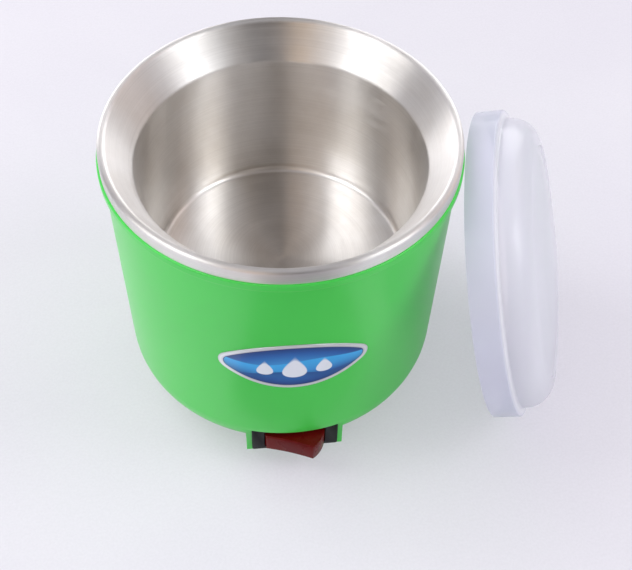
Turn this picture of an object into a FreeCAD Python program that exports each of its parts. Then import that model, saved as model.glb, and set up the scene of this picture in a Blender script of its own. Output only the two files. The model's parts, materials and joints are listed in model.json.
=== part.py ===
"""Salon wax heater: a spun metal wax bowl in a moulded shell, with its lid leaning on the rim.

Millimetres, +Z up. The origin is on the pot's axis at the level of the surface it stands on.
The switch faces -Y, the cord gland faces +Y and the lid leans on the +X side.
"""
import FreeCAD, Part
import Sketcher
import math
import os
import re
from FreeCAD import Placement, Rotation, Vector

SIZES = {
    # wax bowl, spun from one sheet
    "rim_radius": 70.0,
    "well_floor": 60.1,
    "sheet": 1.0,
    "bead_width": 2.7,
    "bead_round": 1.3,
    "skirt_drop": 5.8,
    "flange_round": 2.0,
    "flange_width": 12.5,
    "throat_drop": 13.7,
    "throat_round": 3.0,
    "well_taper": 5.0,
    "floor_round": 2.5,
    "bowl_depth": 73.1,
    # moulded outer shell
    "foot_height": 7.7,
    "wall": 2.2,
    "lip_ledge": 0.8,
    "lip_overhang": 1.9,
    "wall_draft": 3.2,
    "lip_thickness": 3.2,
    "lip_slope": 2.2,
    "lip_round": 0.8,
    "spigot_gap": 0.2,
    "spigot_rise": 2.8,
    "spigot_wall": 2.0,
    "base_opening": 44.0,
    "foot_ledge": 2.0,
    # screw posts and their ribs
    "post_circle": 36.0,
    "post_radius": 4.0,
    "lead_over_post": 2.0,
    "rib_thickness": 2.4,
    # switch hood, a flat facet low on the front
    "panel_setback": 3.6,
    "hood_inset": 0.3,
    "hood_side": 2.2,
    "hood_gap": 0.1,
    "recess_headroom": 0.7,
    # rocker switch
    "bezel_thickness": 1.4,
    "bezel_round": 1.0,
    "body_depth": 17.0,
    "panel_gap": 0.1,
    "snap_height": 0.8,
    "snap_length": 3.0,
    "snap_half_width": 2.0,
    "rocker_radius": 12.8,
    "rocker_face": 8.0,
    "rocker_half_height": 4.7,
    "pocket_wall": 1.2,
    "pocket_end": 2.7,
    "bezel_lip": 0.8,
    "bezel_lap": 2.4,
    "switch_clearance": 0.4,
    "rocker_back": 3.0,
    "rocker_hollow": 0.5,
    "rocker_hollow_radius": 100.0,
    "rocker_edge": 0.6,
    "rocker_tilt": 20.0,
    "rocker_gap": 0.3,
    "pivot_depth": 2.4,
    "pivot_radius": 1.25,
    "pivot_length": 0.9,
    "pivot_clearance": 0.05,
    "blade_spacing": 9.0,
    "blade_thickness": 0.8,
    "blade_width": 4.8,
    "blade_length": 7.8,
    "blade_hole": 0.8,
    "boot_length": 10.0,
    "boot_wall": 1.4,
    "boot_clearance": 0.1,
    "boot_gap": 0.5,
    # label
    "label_height": 74.4,
    "label_shift": -0.9,
    "label_half_width": 31.6,
    "label_half_height": 14.4,
    "label_end_round": 6.0,
    "label_thickness": 0.35,
    "label_glue": 0.03,
    # lid
    "lid_wall": 1.6,
    "lid_fit": 2.7,
    "collar_height": 10.9,
    "collar_slope": 0.8,
    "collar_round": 0.7,
    "collar_step": 3.6,
    "dome_round": 11.4,
    "shoulder_flat": 0.6,
    "crown_rise": 5.0,
    "panel_rise": 1.4,
    "panel_step": 0.8,
    "lid_tilt": 15.4,
    "lid_turn": -13.9,
    "lid_shift": 7.3,
    "lid_gap": 0.35,
    # base cover
    "cover_gap": 0.4,
    "vent_circle": 21.0,
    "vent_length": 12.0,
    "vent_width": 2.4,
    "vent_count": 8,
    # feet and their screws
    "foot_top_radius": 6.8,
    "foot_bottom_radius": 6.0,
    "foot_recess_depth": 4.2,
    "foot_round": 0.8,
    "screw_radius": 1.4,
    "screw_clearance": 0.5,
    "core_clearance": 0.05,
    "screw_tip": 6.0,
    "recess_clearance": 0.8,
    "screw_head_radius": 3.2,
    "screw_head_height": 2.0,
    # tie rod, nuts and washers
    "rod_radius": 3.0,
    "rod_clearance": 0.3,
    "rod_stub": 0.2,
    "thread_gap": 0.05,
    "nut_across": 10.0,
    "nut_height": 4.8,
    "washer_radius": 6.5,
    "washer_thickness": 1.2,
    "cap_wall": 2.0,
    "cap_floor": 0.5,
    "cap_clearance": 0.1,
    # plate heater
    "mica_thickness": 0.5,
    "heater_margin": 8.5,
    "clamp_overhang": 1.2,
    "clamp_thickness": 1.5,
    "strip_thickness": 0.4,
    "strip_width": 2.6,
    "strip_first": 12.0,
    "strip_margin": 7.0,
    "strip_rings": 6,
    "strip_gap_angle": 20.0,
    "crimp_gap": 1.0,
    "crimp_length": 3.5,
    "tab_end": 0.5,
    "crimp_half_width": 2.1,
    "crimp_drop": 3.4,
    "crimp_clearance": 0.05,
    # insulation and heat shield
    "shield_overhang": 3.0,
    "pad_clearance": 2.5,
    "shield_sheet": 0.8,
    "shield_rim": 8.0,
    "shield_round": 2.0,
    # thermostat
    "thermostat_circle": 27.0,
    "thermostat_turn": 200.0,
    "thermostat_radius": 8.0,
    "thermostat_height": 10.5,
    "cap_radius": 8.6,
    "cap_height": 3.5,
    "flange_thickness": 0.8,
    "flange_half_width": 5.0,
    "flange_end": 3.2,
    "small_screw_radius": 1.5,
    "small_screw_head": 2.8,
    "screw_room": 1.2,
    "small_head_height": 1.6,
    "thermostat_blade_offset": 4.5,
    "thermostat_blade_length": 8.0,
    "thermostat_clearance": 1.6,
    # terminal block
    "block_distance": 27.0,
    "block_half_width": 8.0,
    "block_height": 12.0,
    "pole_spacing": 9.0,
    "pole_height": 5.0,
    "sleeve_radius": 2.6,
    "sleeve_bore": 1.7,
    "block_end": 2.4,
    "grub_radius": 1.4,
    "grub_offset": 4.5,
    "grub_sink": 0.6,
    "lead_stop": 0.3,
    # cord gland
    "gland_rise": 1.0,
    "gland_bore": 3.3,
    "gland_wall": 1.7,
    "gland_lap": 2.6,
    "gland_lip": 2.4,
    "gland_round": 0.8,
    "gland_gap": 0.1,
    # inner leads
    "lead_radius": 1.2,
    "lead_bend": 3.6,
    "lead_drop": 5.7,
    "lead_straight": 9.0,
    "lead_rise": 7.0,
    "lead_bow": 6.0,
    "lead_slant": 2.0,
}

# Sizes that follow from the ones above. Each name stands for its expression wherever a size is bound.
LINKS = {
    "rim_top": "well_floor + bowl_depth",
    "throat_radius": "rim_radius - flange_width",
    "floor_radius": "throat_radius - well_taper",
    "lip_radius": "rim_radius + lip_ledge",
    "wall_top_radius": "lip_radius - lip_overhang",
    "wall_foot_radius": "wall_top_radius - wall_draft",
    "corner_round": "wall_foot_radius - base_opening - foot_ledge",
    "body_half_height": "rocker_half_height + rocker_gap + pocket_wall",
    "body_half_length": "rocker_radius + rocker_gap + pocket_end",
    "bezel_half_height": "body_half_height + bezel_lip",
    "bezel_half_length": "body_half_length + bezel_lap",
    "switch_height": "foot_height + wall + switch_clearance + body_half_height",
    "panel_face": "wall_foot_radius - panel_setback",
    "hood_radius": "wall_foot_radius - hood_inset",
    "hood_half_width": "bezel_half_length + hood_side",
    "mica_radius": "floor_radius - heater_margin",
    "strip_pitch": "(mica_radius - strip_margin - strip_first) / (strip_rings - 1)",
    "strip_last": "mica_radius - strip_margin",
    "clamp_radius": "mica_radius + clamp_overhang",
    "shield_radius": "clamp_radius + shield_overhang",
    "crimp_start": "clamp_radius + crimp_gap",
    "crimp_end": "crimp_start + crimp_length",
    "tab_reach": "crimp_end + tab_end",
    "rod_hole": "rod_radius + rod_clearance",
    "pad_inner_radius": "washer_radius + pad_clearance",
    "flange_screw_offset": "thermostat_radius + small_screw_head + screw_room",
    "screw_hole": "screw_radius + screw_clearance",
    "screw_core": "screw_radius + core_clearance",
    "foot_recess_radius": "screw_head_radius + recess_clearance",
    "block_half_length": "pole_spacing + sleeve_radius + block_end",
    "lead_inset": "grub_offset + grub_radius + lead_stop",
    "gland_neck": "gland_bore + gland_wall",
    "gland_flange": "gland_neck + gland_lap",
    "gland_height": "foot_height + corner_round + gland_flange + gland_rise",
    "lid_radius": "rim_radius - bead_width - lid_fit",
    "dome_radius": "lid_radius - collar_step",
    "panel_radius": "dome_radius - dome_round - shoulder_flat",
    "shoulder_height": "collar_height + collar_slope + dome_round",
    "crown_height": "shoulder_height + crown_rise",
    # levels, from the table up
    "base_nut_foot": "foot_height - washer_thickness - nut_height",
    "rod_end": "base_nut_foot - rod_stub",
    "cover_top": "foot_height + wall",
    "recess_top": "switch_height + bezel_half_height + recess_headroom",
    "bowl_under": "well_floor - sheet",
    "strip_top": "bowl_under - mica_thickness",
    "strip_under": "strip_top - strip_thickness",
    "crimp_middle": "strip_under - crimp_drop / 2",
    "clamp_top": "strip_under - mica_thickness",
    "clamp_under": "clamp_top - clamp_thickness",
    "nut_top": "clamp_under - washer_thickness",
    "shield_top": "nut_top - nut_height",
    "shield_under": "shield_top - shield_sheet",
    "thermostat_foot": "clamp_under - thermostat_height - thermostat_blade_length",
    "lead_run": "thermostat_foot - lead_drop",
    "post_top": "lead_run - lead_over_post",
    "screw_reach": "post_top - screw_tip",
    "lip_top": "rim_top - skirt_drop",
    "lip_foot": "lip_top - lip_thickness - lip_slope",
    # depths along the front
    "bezel_front": "panel_face + bezel_thickness",
    "pivot_y": "pivot_depth - bezel_front",
    "body_back": "body_depth - panel_face",
    "boot_start": "body_back + boot_gap",
    "boot_end": "boot_start + boot_length",
}

doc = FreeCAD.newDocument("wax_heater")
sheet = doc.addObject("Spreadsheet::Sheet", "Sizes")
NODES = []

# ---------------------------------------------------------------- sizes


def fill_sheet():
    """Write every driving size into the sheet as a plain number with an alias."""
    for row, (alias, value) in enumerate(SIZES.items(), start=1):
        sheet.set("A%d" % row, alias.replace("_", " "))
        sheet.set("B%d" % row, str(value))
        sheet.setAlias("B%d" % row, alias)
    doc.recompute()


def bound(text):
    """Write out linked names, then turn the sizes' names into references to the sheet."""
    name = re.compile(r"[a-z][a-z_0-9]*")
    while any(found in LINKS for found in name.findall(text)):
        text = name.sub(lambda m: "(%s)" % LINKS[m.group()] if m.group() in LINKS else m.group(), text)
    return name.sub(lambda m: "Sizes." + m.group() if m.group() in SIZES else m.group(), text)


def number(text):
    """The present value of an expression on the sheet's sizes."""
    return float(sheet.evalExpression(bound(text)))


def bind(target, place, text):
    target.setExpression(place, bound(text))


def bind_place(target, x="0", y="0", z="0"):
    for axis, text in zip("xyz", (x, y, z)):
        if text != "0":
            bind(target, "Placement.Base." + axis, text)


def node(target, label):
    """Give a finished sub-part the label that names its file."""
    target.Label = label
    NODES.append(target)
    return target


# ---------------------------------------------------------------- places that several pieces share

THERMOSTAT_X = "thermostat_circle * cos(thermostat_turn)"
THERMOSTAT_Y = "thermostat_circle * sin(thermostat_turn)"


def wall_radius(height):
    """Outer radius of the tapered wall at a height."""
    return "(wall_foot_radius + (%s - foot_height) * wall_draft / (lip_foot - foot_height))" % height


# ---------------------------------------------------------------- sketches and turned pieces


def origin_plane(body, role):
    return next(f for f in body.Origin.OriginFeatures if f.Role == role)


def corner_points(corners):
    """Where the sides meet each corner: one point, or two for a rounded corner."""
    flat = [Vector(number(c[0]), number(c[1]), 0) for c in corners]
    rounds = [number(c[2]) if len(c) > 2 else 0.0 for c in corners]
    result = []
    for i, here in enumerate(flat):
        before = flat[i - 1] - here
        after = flat[(i + 1) % len(flat)] - here
        if rounds[i] == 0:
            result.append((here, here, None))
            continue
        before.normalize()
        after.normalize()
        half = before.getAngle(after) / 2
        reach = rounds[i] / math.tan(half)
        middle = (before + after).normalize()
        centre = here + middle * (rounds[i] / math.sin(half))
        nearest = centre - middle * rounds[i]
        result.append((here + before * reach, here + after * reach, nearest))
    return flat, result


def place_point(sketch, point, x, y, tag):
    """Fix a sketch point at two expressions, measured from the sketch's origin."""
    for kind, text, axis in (("DistanceX", x, -2), ("DistanceY", y, -1)):
        value = number(text)
        if abs(value) < 1e-9:
            sketch.addConstraint(Sketcher.Constraint("PointOnObject", point[0], point[1], axis))
            continue
        index = sketch.addConstraint(Sketcher.Constraint(kind, -1, 1, point[0], point[1], value))
        sketch.renameConstraint(index, tag + kind[-1])
        bind(sketch, "Constraints." + tag + kind[-1], text)


def outline_sketch(body, name, plane, corners):
    """A closed outline of straight sides whose corners are bound to the sheet; a third value rounds one."""
    sketch = body.newObject("Sketcher::SketchObject", name)
    sketch.AttachmentSupport = [(origin_plane(body, plane), "")]
    sketch.MapMode = "FlatFace"
    flat, ends = corner_points(corners)
    count = len(corners)
    sides = []
    for i in range(count):
        start = ends[i][1]
        stop = ends[(i + 1) % count][0]
        sides.append(sketch.addGeometry(Part.LineSegment(start, stop)))
    for i in range(count):
        before = sides[i - 1]
        after = sides[i]
        x, y = corners[i][:2]
        if ends[i][2] is None:
            sketch.addConstraint(Sketcher.Constraint("Coincident", before, 2, after, 1))
            place_point(sketch, (after, 1), x, y, "p%d" % i)
            continue
        arc = sketch.addGeometry(Part.Arc(ends[i][0], ends[i][2], ends[i][1]))
        first, last = (1, 2)
        if (sketch.getPoint(arc, 1) - ends[i][0]).Length > (sketch.getPoint(arc, 2) - ends[i][0]).Length:
            first, last = (2, 1)
        sketch.addConstraint(Sketcher.Constraint("Tangent", before, 2, arc, first))
        sketch.addConstraint(Sketcher.Constraint("Tangent", arc, last, after, 1))
        index = sketch.addConstraint(Sketcher.Constraint("Radius", arc, number(corners[i][2])))
        sketch.renameConstraint(index, "round%d" % i)
        bind(sketch, "Constraints.round%d" % i, corners[i][2])
        corner = sketch.addGeometry(Part.Point(flat[i]), True)
        sketch.addConstraint(Sketcher.Constraint("PointOnObject", corner, 1, before))
        sketch.addConstraint(Sketcher.Constraint("PointOnObject", corner, 1, after))
        place_point(sketch, (corner, 1), x, y, "p%d" % i)
    return sketch


def turned(name, corners):
    """A piece turned about +Z from an outline of (radius, height) corners."""
    body = doc.addObject("PartDesign::Body", name)
    sketch = outline_sketch(body, name + "_outline", "XZ_Plane", corners)
    turn = body.newObject("PartDesign::Revolution", name + "_turn")
    turn.Profile = sketch
    turn.ReferenceAxis = (sketch, ["V_Axis"])
    turn.Angle = 360
    body.Tip = turn
    return body


# ---------------------------------------------------------------- primitives and joins


def box(name, x, y, z):
    """A block between two expressions on each axis."""
    block = doc.addObject("Part::Box", name)
    for side, (low, high) in zip(("Length", "Width", "Height"), (x, y, z)):
        bind(block, side, "(%s) - (%s)" % (high, low))
    bind_place(block, x[0], y[0], z[0])
    return block


def rod(name, radius, z, x="0", y="0"):
    """An upright cylinder between two heights."""
    cylinder = doc.addObject("Part::Cylinder", name)
    bind(cylinder, "Radius", radius)
    bind(cylinder, "Height", "(%s) - (%s)" % (z[1], z[0]))
    bind_place(cylinder, x, y, z[0])
    return cylinder


def cross_rod(name, radius, y, x="0", z="0"):
    """A cylinder lying along +Y between two expressions."""
    cylinder = doc.addObject("Part::Cylinder", name)
    cylinder.Placement = Placement(Vector(), Rotation(Vector(1, 0, 0), -90))
    bind(cylinder, "Radius", radius)
    bind(cylinder, "Height", "(%s) - (%s)" % (y[1], y[0]))
    bind_place(cylinder, x, y[0], z)
    return cylinder


def hexagon(name, across, z):
    prism = doc.addObject("Part::Prism", name)
    prism.Polygon = 6
    bind(prism, "Circumradius", "(%s) / sqrt(3)" % across)
    bind(prism, "Height", "(%s) - (%s)" % (z[1], z[0]))
    bind_place(prism, "0", "0", z[0])
    return prism


def fuse(name, *pieces):
    joined = doc.addObject("Part::MultiFuse", name)
    joined.Shapes = list(pieces)
    joined.Refine = True
    return joined


def group(name, *pieces):
    """Separate solids kept in one node."""
    together = doc.addObject("Part::Compound", name)
    together.Links = list(pieces)
    return together


def cut(name, base, *tools):
    result = doc.addObject("Part::Cut", name)
    result.Base = base
    result.Tool = tools[0] if len(tools) == 1 else group(name + "_tools", *tools)
    return result


def common(name, *pieces):
    result = doc.addObject("Part::MultiCommon", name)
    result.Shapes = list(pieces)
    return result


def turn_z(target, angle):
    """Turn a piece about the pot's axis."""
    target.Placement = Placement(Vector(), Rotation(Vector(0, 0, 1), 1))
    bind(target, "Placement.Rotation.Angle", angle)
    return target


def round_edges(name, base, radius, chosen):
    """Round the edges of a piece that the given test chooses."""
    doc.recompute()
    fillet = doc.addObject("Part::Fillet", name)
    fillet.Base = base
    size = number(radius)
    fillet.Edges = [(i, size, size) for i, e in enumerate(base.Shape.Edges, start=1) if chosen(e)]
    return fillet


def is_straight_along(edge, axis):
    if edge.Curve.TypeId != "Part::GeomLine":
        return False
    return abs(abs(edge.tangentAt(edge.FirstParameter).dot(axis)) - 1) < 1e-6


# ---------------------------------------------------------------- pot


def wax_bowl():
    """Narrow flat rim with a hanging skirt, conical flange, throat, tapered wall and flat floor."""
    inner = "(rim_radius - bead_width)"
    throat = "(rim_top - throat_drop)"
    floor = "well_floor"
    corners = [
        ("rim_radius", "lip_top"),
        ("rim_radius", "rim_top", "bead_round"),
        (inner, "rim_top", "flange_round"),
        ("throat_radius", throat, "throat_round"),
        ("floor_radius", floor, "floor_round"),
        ("0", floor),
        ("0", floor + " - sheet"),
        ("floor_radius + sheet", floor + " - sheet", "floor_round + sheet"),
        ("throat_radius + sheet", throat + " - sheet / 3", "throat_round + sheet"),
        (inner + " + sheet / 2", "rim_top - sheet", "flange_round - sheet"),
        ("rim_radius - sheet", "rim_top - sheet", "bead_round - sheet"),
        ("rim_radius - sheet", "lip_top"),
    ]
    node(turned("wax_bowl", corners), "wax_bowl")


def shell_wall():
    """The moulded shell: lip, spigot that locates the bowl, tapered wall and rounded foot."""
    spigot_top = "lip_top + spigot_rise"
    spigot_outer = "rim_radius - sheet - spigot_gap"
    spigot_inner = "rim_radius - sheet - spigot_gap - spigot_wall"
    corners = [
        ("base_opening", "foot_height"),
        ("wall_foot_radius", "foot_height", "corner_round"),
        ("wall_top_radius", "lip_foot", "lip_round"),
        ("lip_radius", "lip_top - lip_thickness", "lip_round"),
        ("lip_radius", "lip_top", "lip_round"),
        (spigot_outer, "lip_top"),
        (spigot_outer, spigot_top),
        (spigot_inner, spigot_top),
        ("wall_foot_radius - wall", "cover_top", "corner_round - wall"),
        ("base_opening", "cover_top"),
    ]
    return turned("shell_wall", corners)


def shell_post(index, angle):
    """A screw post and the rib that ties it to the wall."""
    rib = doc.addObject("PartDesign::Body", "rib_%d" % index)
    outer = "wall_foot_radius - wall / 2"
    corners = [
        ("post_circle", "cover_top"),
        (outer, "cover_top", "corner_round - wall"),
        (outer, "post_top"),
        ("post_circle", "post_top"),
    ]
    sketch = outline_sketch(rib, "rib_outline_%d" % index, "XZ_Plane", corners)
    pad = rib.newObject("PartDesign::Pad", "rib_pad_%d" % index)
    pad.Profile = sketch
    pad.Midplane = True
    bind(pad, "Length", "rib_thickness")
    rib.Tip = pad
    post = rod("post_%d" % index, "post_radius", ("cover_top", "post_top"), x="post_circle")
    return turn_z(fuse("post_and_rib_%d" % index, rib, post), str(angle))


def foot_tool(name, index, angle, radius, z):
    """A round tool or piece on the foot circle, at a quarter of the way round."""
    x = "post_circle * cos(%d)" % angle
    y = "post_circle * sin(%d)" % angle
    return rod("%s_%d" % (name, index), radius, z, x, y)


def outer_shell():
    """The wall with its hood, posts and ribs, less the recess, the switch window, the cores and the cord hole."""
    side = "(hood_half_width - wall)"
    hood_levels = ("foot_height", "recess_top + wall")
    hood_front = ("-hood_radius - 1", "-base_opening - hood_gap")
    block = box("hood_box", ("-hood_half_width", "hood_half_width"), hood_front, hood_levels)
    hood = common("hood_block", block, rod("hood_limit", "hood_radius", hood_levels))
    posts = [shell_post(i, angle) for i, angle in enumerate(FOOT_ANGLES, start=1)]
    solid = fuse("shell_solid", shell_wall(), hood, *posts)
    recess = box(
        "hood_recess",
        ("-hood_half_width - 1", "hood_half_width + 1"),
        ("-hood_radius - 5", "-panel_face"),
        ("foot_height - 1", "recess_top"),
    )
    hollow = box(
        "hood_hollow",
        ("-" + side, side),
        ("wall - panel_face", "-base_opening / 2"),
        ("cover_top", "recess_top"),
    )
    window = box(
        "switch_window",
        ("-body_half_length - panel_gap", "body_half_length + panel_gap"),
        ("-panel_face - 1", "wall + 1 - panel_face"),
        ("switch_height - body_half_height - panel_gap", "switch_height + body_half_height + panel_gap"),
    )
    cores = [
        foot_tool("screw_core", i, angle, "screw_core", ("cover_top - 1", "post_top - 1.5"))
        for i, angle in enumerate(FOOT_ANGLES, start=1)
    ]
    through_wall = ("wall_foot_radius - 4 * wall", "wall_foot_radius + 4 * wall")
    gland = cross_rod("gland_hole", "gland_neck + gland_gap", through_wall, z="gland_height")
    node(cut("outer_shell", solid, recess, hollow, window, gland, *cores), "outer_shell")


def base_cover():
    """The plate that closes the foot, with vent slots around the tie rod."""
    disc = turned(
        "cover_disc",
        [
            ("rod_hole", "foot_height"),
            ("base_opening - cover_gap", "foot_height"),
            ("base_opening - cover_gap", "cover_top"),
            ("rod_hole", "cover_top"),
        ],
    )
    through = ("foot_height - 1", "cover_top + 1")
    holes = [foot_tool("cover_hole", i, a, "screw_hole", through) for i, a in enumerate(FOOT_ANGLES, start=1)]
    vents = []
    count = int(number("vent_count"))
    for i in range(count):
        slot = box(
            "vent_%d" % (i + 1),
            ("vent_circle - vent_length / 2", "vent_circle + vent_length / 2"),
            ("-vent_width / 2", "vent_width / 2"),
            through,
        )
        vents.append(turn_z(group("vent_turned_%d" % (i + 1), slot), "%d * 360 / vent_count" % i))
    node(cut("base_cover", disc, *(holes + vents)), "base_cover")


def feet():
    """Four rubber feet with a sunk hole for their screws."""
    for i, (name, angle) in enumerate(zip(FOOT_NAMES, FOOT_ANGLES), start=1):
        foot = turned(
            "foot_%d" % i,
            [
                ("screw_hole", "foot_recess_depth"),
                ("foot_recess_radius", "foot_recess_depth"),
                ("foot_recess_radius", "0"),
                ("foot_bottom_radius", "0", "foot_round"),
                ("foot_top_radius", "foot_height"),
                ("screw_hole", "foot_height"),
            ],
        )
        bind_place(foot, "post_circle * cos(%d)" % angle, "post_circle * sin(%d)" % angle)
        node(foot, "rubber_foot_" + name)
    screws = []
    for i, angle in enumerate(FOOT_ANGLES, start=1):
        head = foot_tool(
            "screw_head", i, angle, "screw_head_radius", ("foot_recess_depth - screw_head_height", "foot_recess_depth")
        )
        shank = foot_tool("screw_shank", i, angle, "screw_radius", ("foot_recess_depth", "screw_reach"))
        slot = box(
            "screw_slot_%d" % i,
            ("-0.4", "0.4"),
            ("-screw_head_radius", "screw_head_radius"),
            ("foot_recess_depth - screw_head_height", "foot_recess_depth - screw_head_height / 2"),
        )
        driver = group("screw_driver_%d" % i, slot)
        bind_place(driver, "post_circle * cos(%d)" % angle, "post_circle * sin(%d)" % angle)
        screws.append(cut("foot_screw_%d" % i, fuse("screw_solid_%d" % i, head, shank), driver))
    node(group("foot_screws", *screws), "foot_screws")


def label_plate():
    """An oval label of four arcs, bent round the tapered wall."""
    low = "(label_height - label_half_height - 1)"
    high = "(label_height + label_half_height + 1)"
    skin = turned(
        "label_skin",
        [
            (wall_radius(low) + " + label_glue", low),
            (wall_radius(low) + " + label_glue + label_thickness", low),
            (wall_radius(high) + " + label_glue + label_thickness", high),
            (wall_radius(high) + " + label_glue", high),
        ],
    )
    bow = "((label_half_width ^ 2 + label_half_height ^ 2) / (2 * label_half_height))"
    front = ("-lip_radius", "-wall_foot_radius / 2")
    offset = "(%s - label_half_height)" % bow
    upper = cross_rod("label_upper_bow", bow, front, "label_shift", "label_height - " + offset)
    lower = cross_rod("label_lower_bow", bow, front, "label_shift", "label_height + " + offset)
    lens = common("label_lens", upper, lower)
    along_y = Vector(0, 1, 0)
    oval = round_edges("label_oval", lens, "label_end_round", lambda e: is_straight_along(e, along_y))
    node(common("label_plate", skin, oval), "label_plate")


# ---------------------------------------------------------------- switch


def switch_housing():
    """Bezel, body that passes through the panel, snap lugs and the round pocket of the rocker."""
    z_low = "switch_height - "
    z_high = "switch_height + "
    bezel = box(
        "bezel_block",
        ("-bezel_half_length", "bezel_half_length"),
        ("-bezel_front", "-panel_face"),
        (z_low + "bezel_half_height", z_high + "bezel_half_height"),
    )
    along_y = Vector(0, 1, 0)
    bezel_soft = round_edges("bezel_soft", bezel, "bezel_round", lambda e: is_straight_along(e, along_y))
    body = box(
        "switch_body",
        ("-body_half_length", "body_half_length"),
        ("-panel_face", "body_back"),
        (z_low + "body_half_height", z_high + "body_half_height"),
    )
    lugs = []
    for side, name in ((-1, "left"), (1, "right")):
        near = "%d * body_half_length" % side
        far = "%d * (body_half_length + snap_height)" % side
        lugs.append(
            box(
                "snap_" + name,
                (far, near) if side < 0 else (near, far),
                ("wall + panel_gap - panel_face", "wall + panel_gap + snap_length - panel_face"),
                (z_low + "snap_half_width", z_high + "snap_half_width"),
            )
        )
    pocket_half = "(rocker_half_height + rocker_gap)"
    pocket = rod(
        "rocker_pocket",
        "rocker_radius + rocker_gap",
        (z_low + pocket_half, z_high + pocket_half),
        y="pivot_y",
    )
    pin_half = "(rocker_half_height + pivot_length + 0.1)"
    pin_hole = rod(
        "pivot_hole",
        "pivot_radius + pivot_clearance",
        (z_low + pin_half, z_high + pin_half),
        y="pivot_y",
    )
    solid = fuse("housing_solid", bezel_soft, body, *lugs)
    node(cut("switch_housing", solid, pocket, pin_hole), "switch_housing")


def switch_rocker():
    """A sector about the pivot with a slightly hollow face, drawn at its pivot and tilted to rest."""
    half = "rocker_half_height"
    drum = rod("rocker_drum", "rocker_radius", ("-" + half, half))
    band = box(
        "rocker_band",
        ("-rocker_radius - 1", "rocker_radius + 1"),
        ("-rocker_radius", "rocker_back"),
        ("-" + half, half),
    )
    sector = common("rocker_sector", drum, band)
    dish = rod(
        "rocker_dish",
        "rocker_hollow_radius",
        ("-%s - 1" % half, half + " + 1"),
        y="-rocker_face - rocker_hollow_radius + rocker_hollow",
    )
    hollowed = cut("rocker_hollowed", sector, dish)

    def front_edge(edge):
        return edge.BoundBox.YMax < -number("rocker_face") + number("rocker_hollow") + 0.01

    soft = round_edges("rocker_soft", hollowed, "rocker_edge", front_edge)
    pins = rod("rocker_pins", "pivot_radius", ("-%s - pivot_length" % half, half + " + pivot_length"))
    rocker = fuse("switch_rocker", soft, pins)
    rocker.Placement = Placement(Vector(), Rotation(Vector(0, 0, -1), 1))
    bind(rocker, "Placement.Rotation.Angle", "rocker_tilt")
    bind_place(rocker, "0", "pivot_y", "switch_height")
    node(rocker, "switch_rocker")


def switch_blades():
    """Three flat terminals, two of them with insulating boots."""
    blades = []
    for i in (-1, 0, 1):
        middle = "%d * blade_spacing" % i
        blade = box(
            "blade_plate_%d" % (i + 2),
            (middle + " - blade_thickness / 2", middle + " + blade_thickness / 2"),
            ("body_back", "body_back + blade_length"),
            ("switch_height - blade_width / 2", "switch_height + blade_width / 2"),
        )
        hole = doc.addObject("Part::Cylinder", "blade_hole_%d" % (i + 2))
        hole.Placement = Placement(Vector(), Rotation(Vector(0, 1, 0), 90))
        bind(hole, "Radius", "blade_hole")
        bind(hole, "Height", "4 * blade_thickness")
        bind_place(hole, middle + " - 2 * blade_thickness", "body_back + blade_length * 0.7", "switch_height")
        blades.append(cut("switch_blade_%d" % (i + 2), blade, hole))
    node(group("switch_blades", *blades), "switch_blades")
    boots = []
    for i in (-1, 1):
        middle = "%d * blade_spacing" % i
        gap = "(blade_thickness / 2 + boot_clearance)"
        tall = "(blade_width / 2 + boot_clearance)"
        start = "body_back + boot_gap"
        sleeve = box(
            "boot_block_%d" % (i + 2),
            (middle + " - %s - boot_wall" % gap, middle + " + %s + boot_wall" % gap),
            (start, start + " + boot_length"),
            ("switch_height - %s - boot_wall" % tall, "switch_height + %s + boot_wall" % tall),
        )
        slot = box(
            "boot_slot_%d" % (i + 2),
            (middle + " - " + gap, middle + " + " + gap),
            (start + " - 1", "body_back + blade_length + boot_clearance"),
            ("switch_height - " + tall, "switch_height + " + tall),
        )
        boots.append(cut("blade_boot_%d" % (i + 2), sleeve, slot))
    node(group("blade_boots", *boots), "blade_boots")


# ---------------------------------------------------------------- heater stack


def washer(name, label, z):
    node(
        cut(name, rod(name + "_disc", "washer_radius", z), rod(name + "_bore", "rod_radius + thread_gap", z)),
        label,
    )


def nut(name, label, z):
    node(
        cut(name, hexagon(name + "_prism", "nut_across", z), rod(name + "_bore", "rod_radius + thread_gap", z)),
        label,
    )


def tie_rod_and_nuts():
    """One long stud holds the heater to the bowl and pulls the bowl down on the shell."""
    node(rod("tie_rod", "rod_radius", ("rod_end", "bowl_under")), "tie_rod")
    washer("clamp_washer", "clamp_washer", ("nut_top", "clamp_under"))
    nut("clamp_nut", "clamp_nut", ("shield_top", "nut_top"))
    nut("shield_nut", "shield_nut", ("shield_under - nut_height", "shield_under"))
    washer("base_washer", "base_washer", ("foot_height - washer_thickness", "foot_height"))
    nut("base_nut", "base_nut", ("base_nut_foot", "foot_height - washer_thickness"))


def nut_cap():
    """A rubber cap over the base nut, as deep as the feet, so that it is a fifth foot in the middle."""
    washer_bore = "washer_radius + cap_clearance"
    nut_bore = "nut_across / sqrt(3) + cap_clearance"
    floor = "rod_end - cap_floor"
    cap = turned(
        "nut_cap",
        [
            ("0", "0"),
            ("washer_radius + cap_wall", "0", "foot_round"),
            ("washer_radius + cap_wall", "foot_height"),
            (washer_bore, "foot_height"),
            (washer_bore, "foot_height - washer_thickness"),
            (nut_bore, "foot_height - washer_thickness"),
            (nut_bore, floor),
            ("0", floor),
        ],
    )
    node(cap, "nut_cap")


def mica(name, label, top):
    disc = rod(name + "_disc", "mica_radius", (top + " - mica_thickness", top))
    bore = rod(name + "_bore", "rod_hole", (top + " - mica_thickness", top))
    node(cut(name, disc, bore), label)


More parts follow.
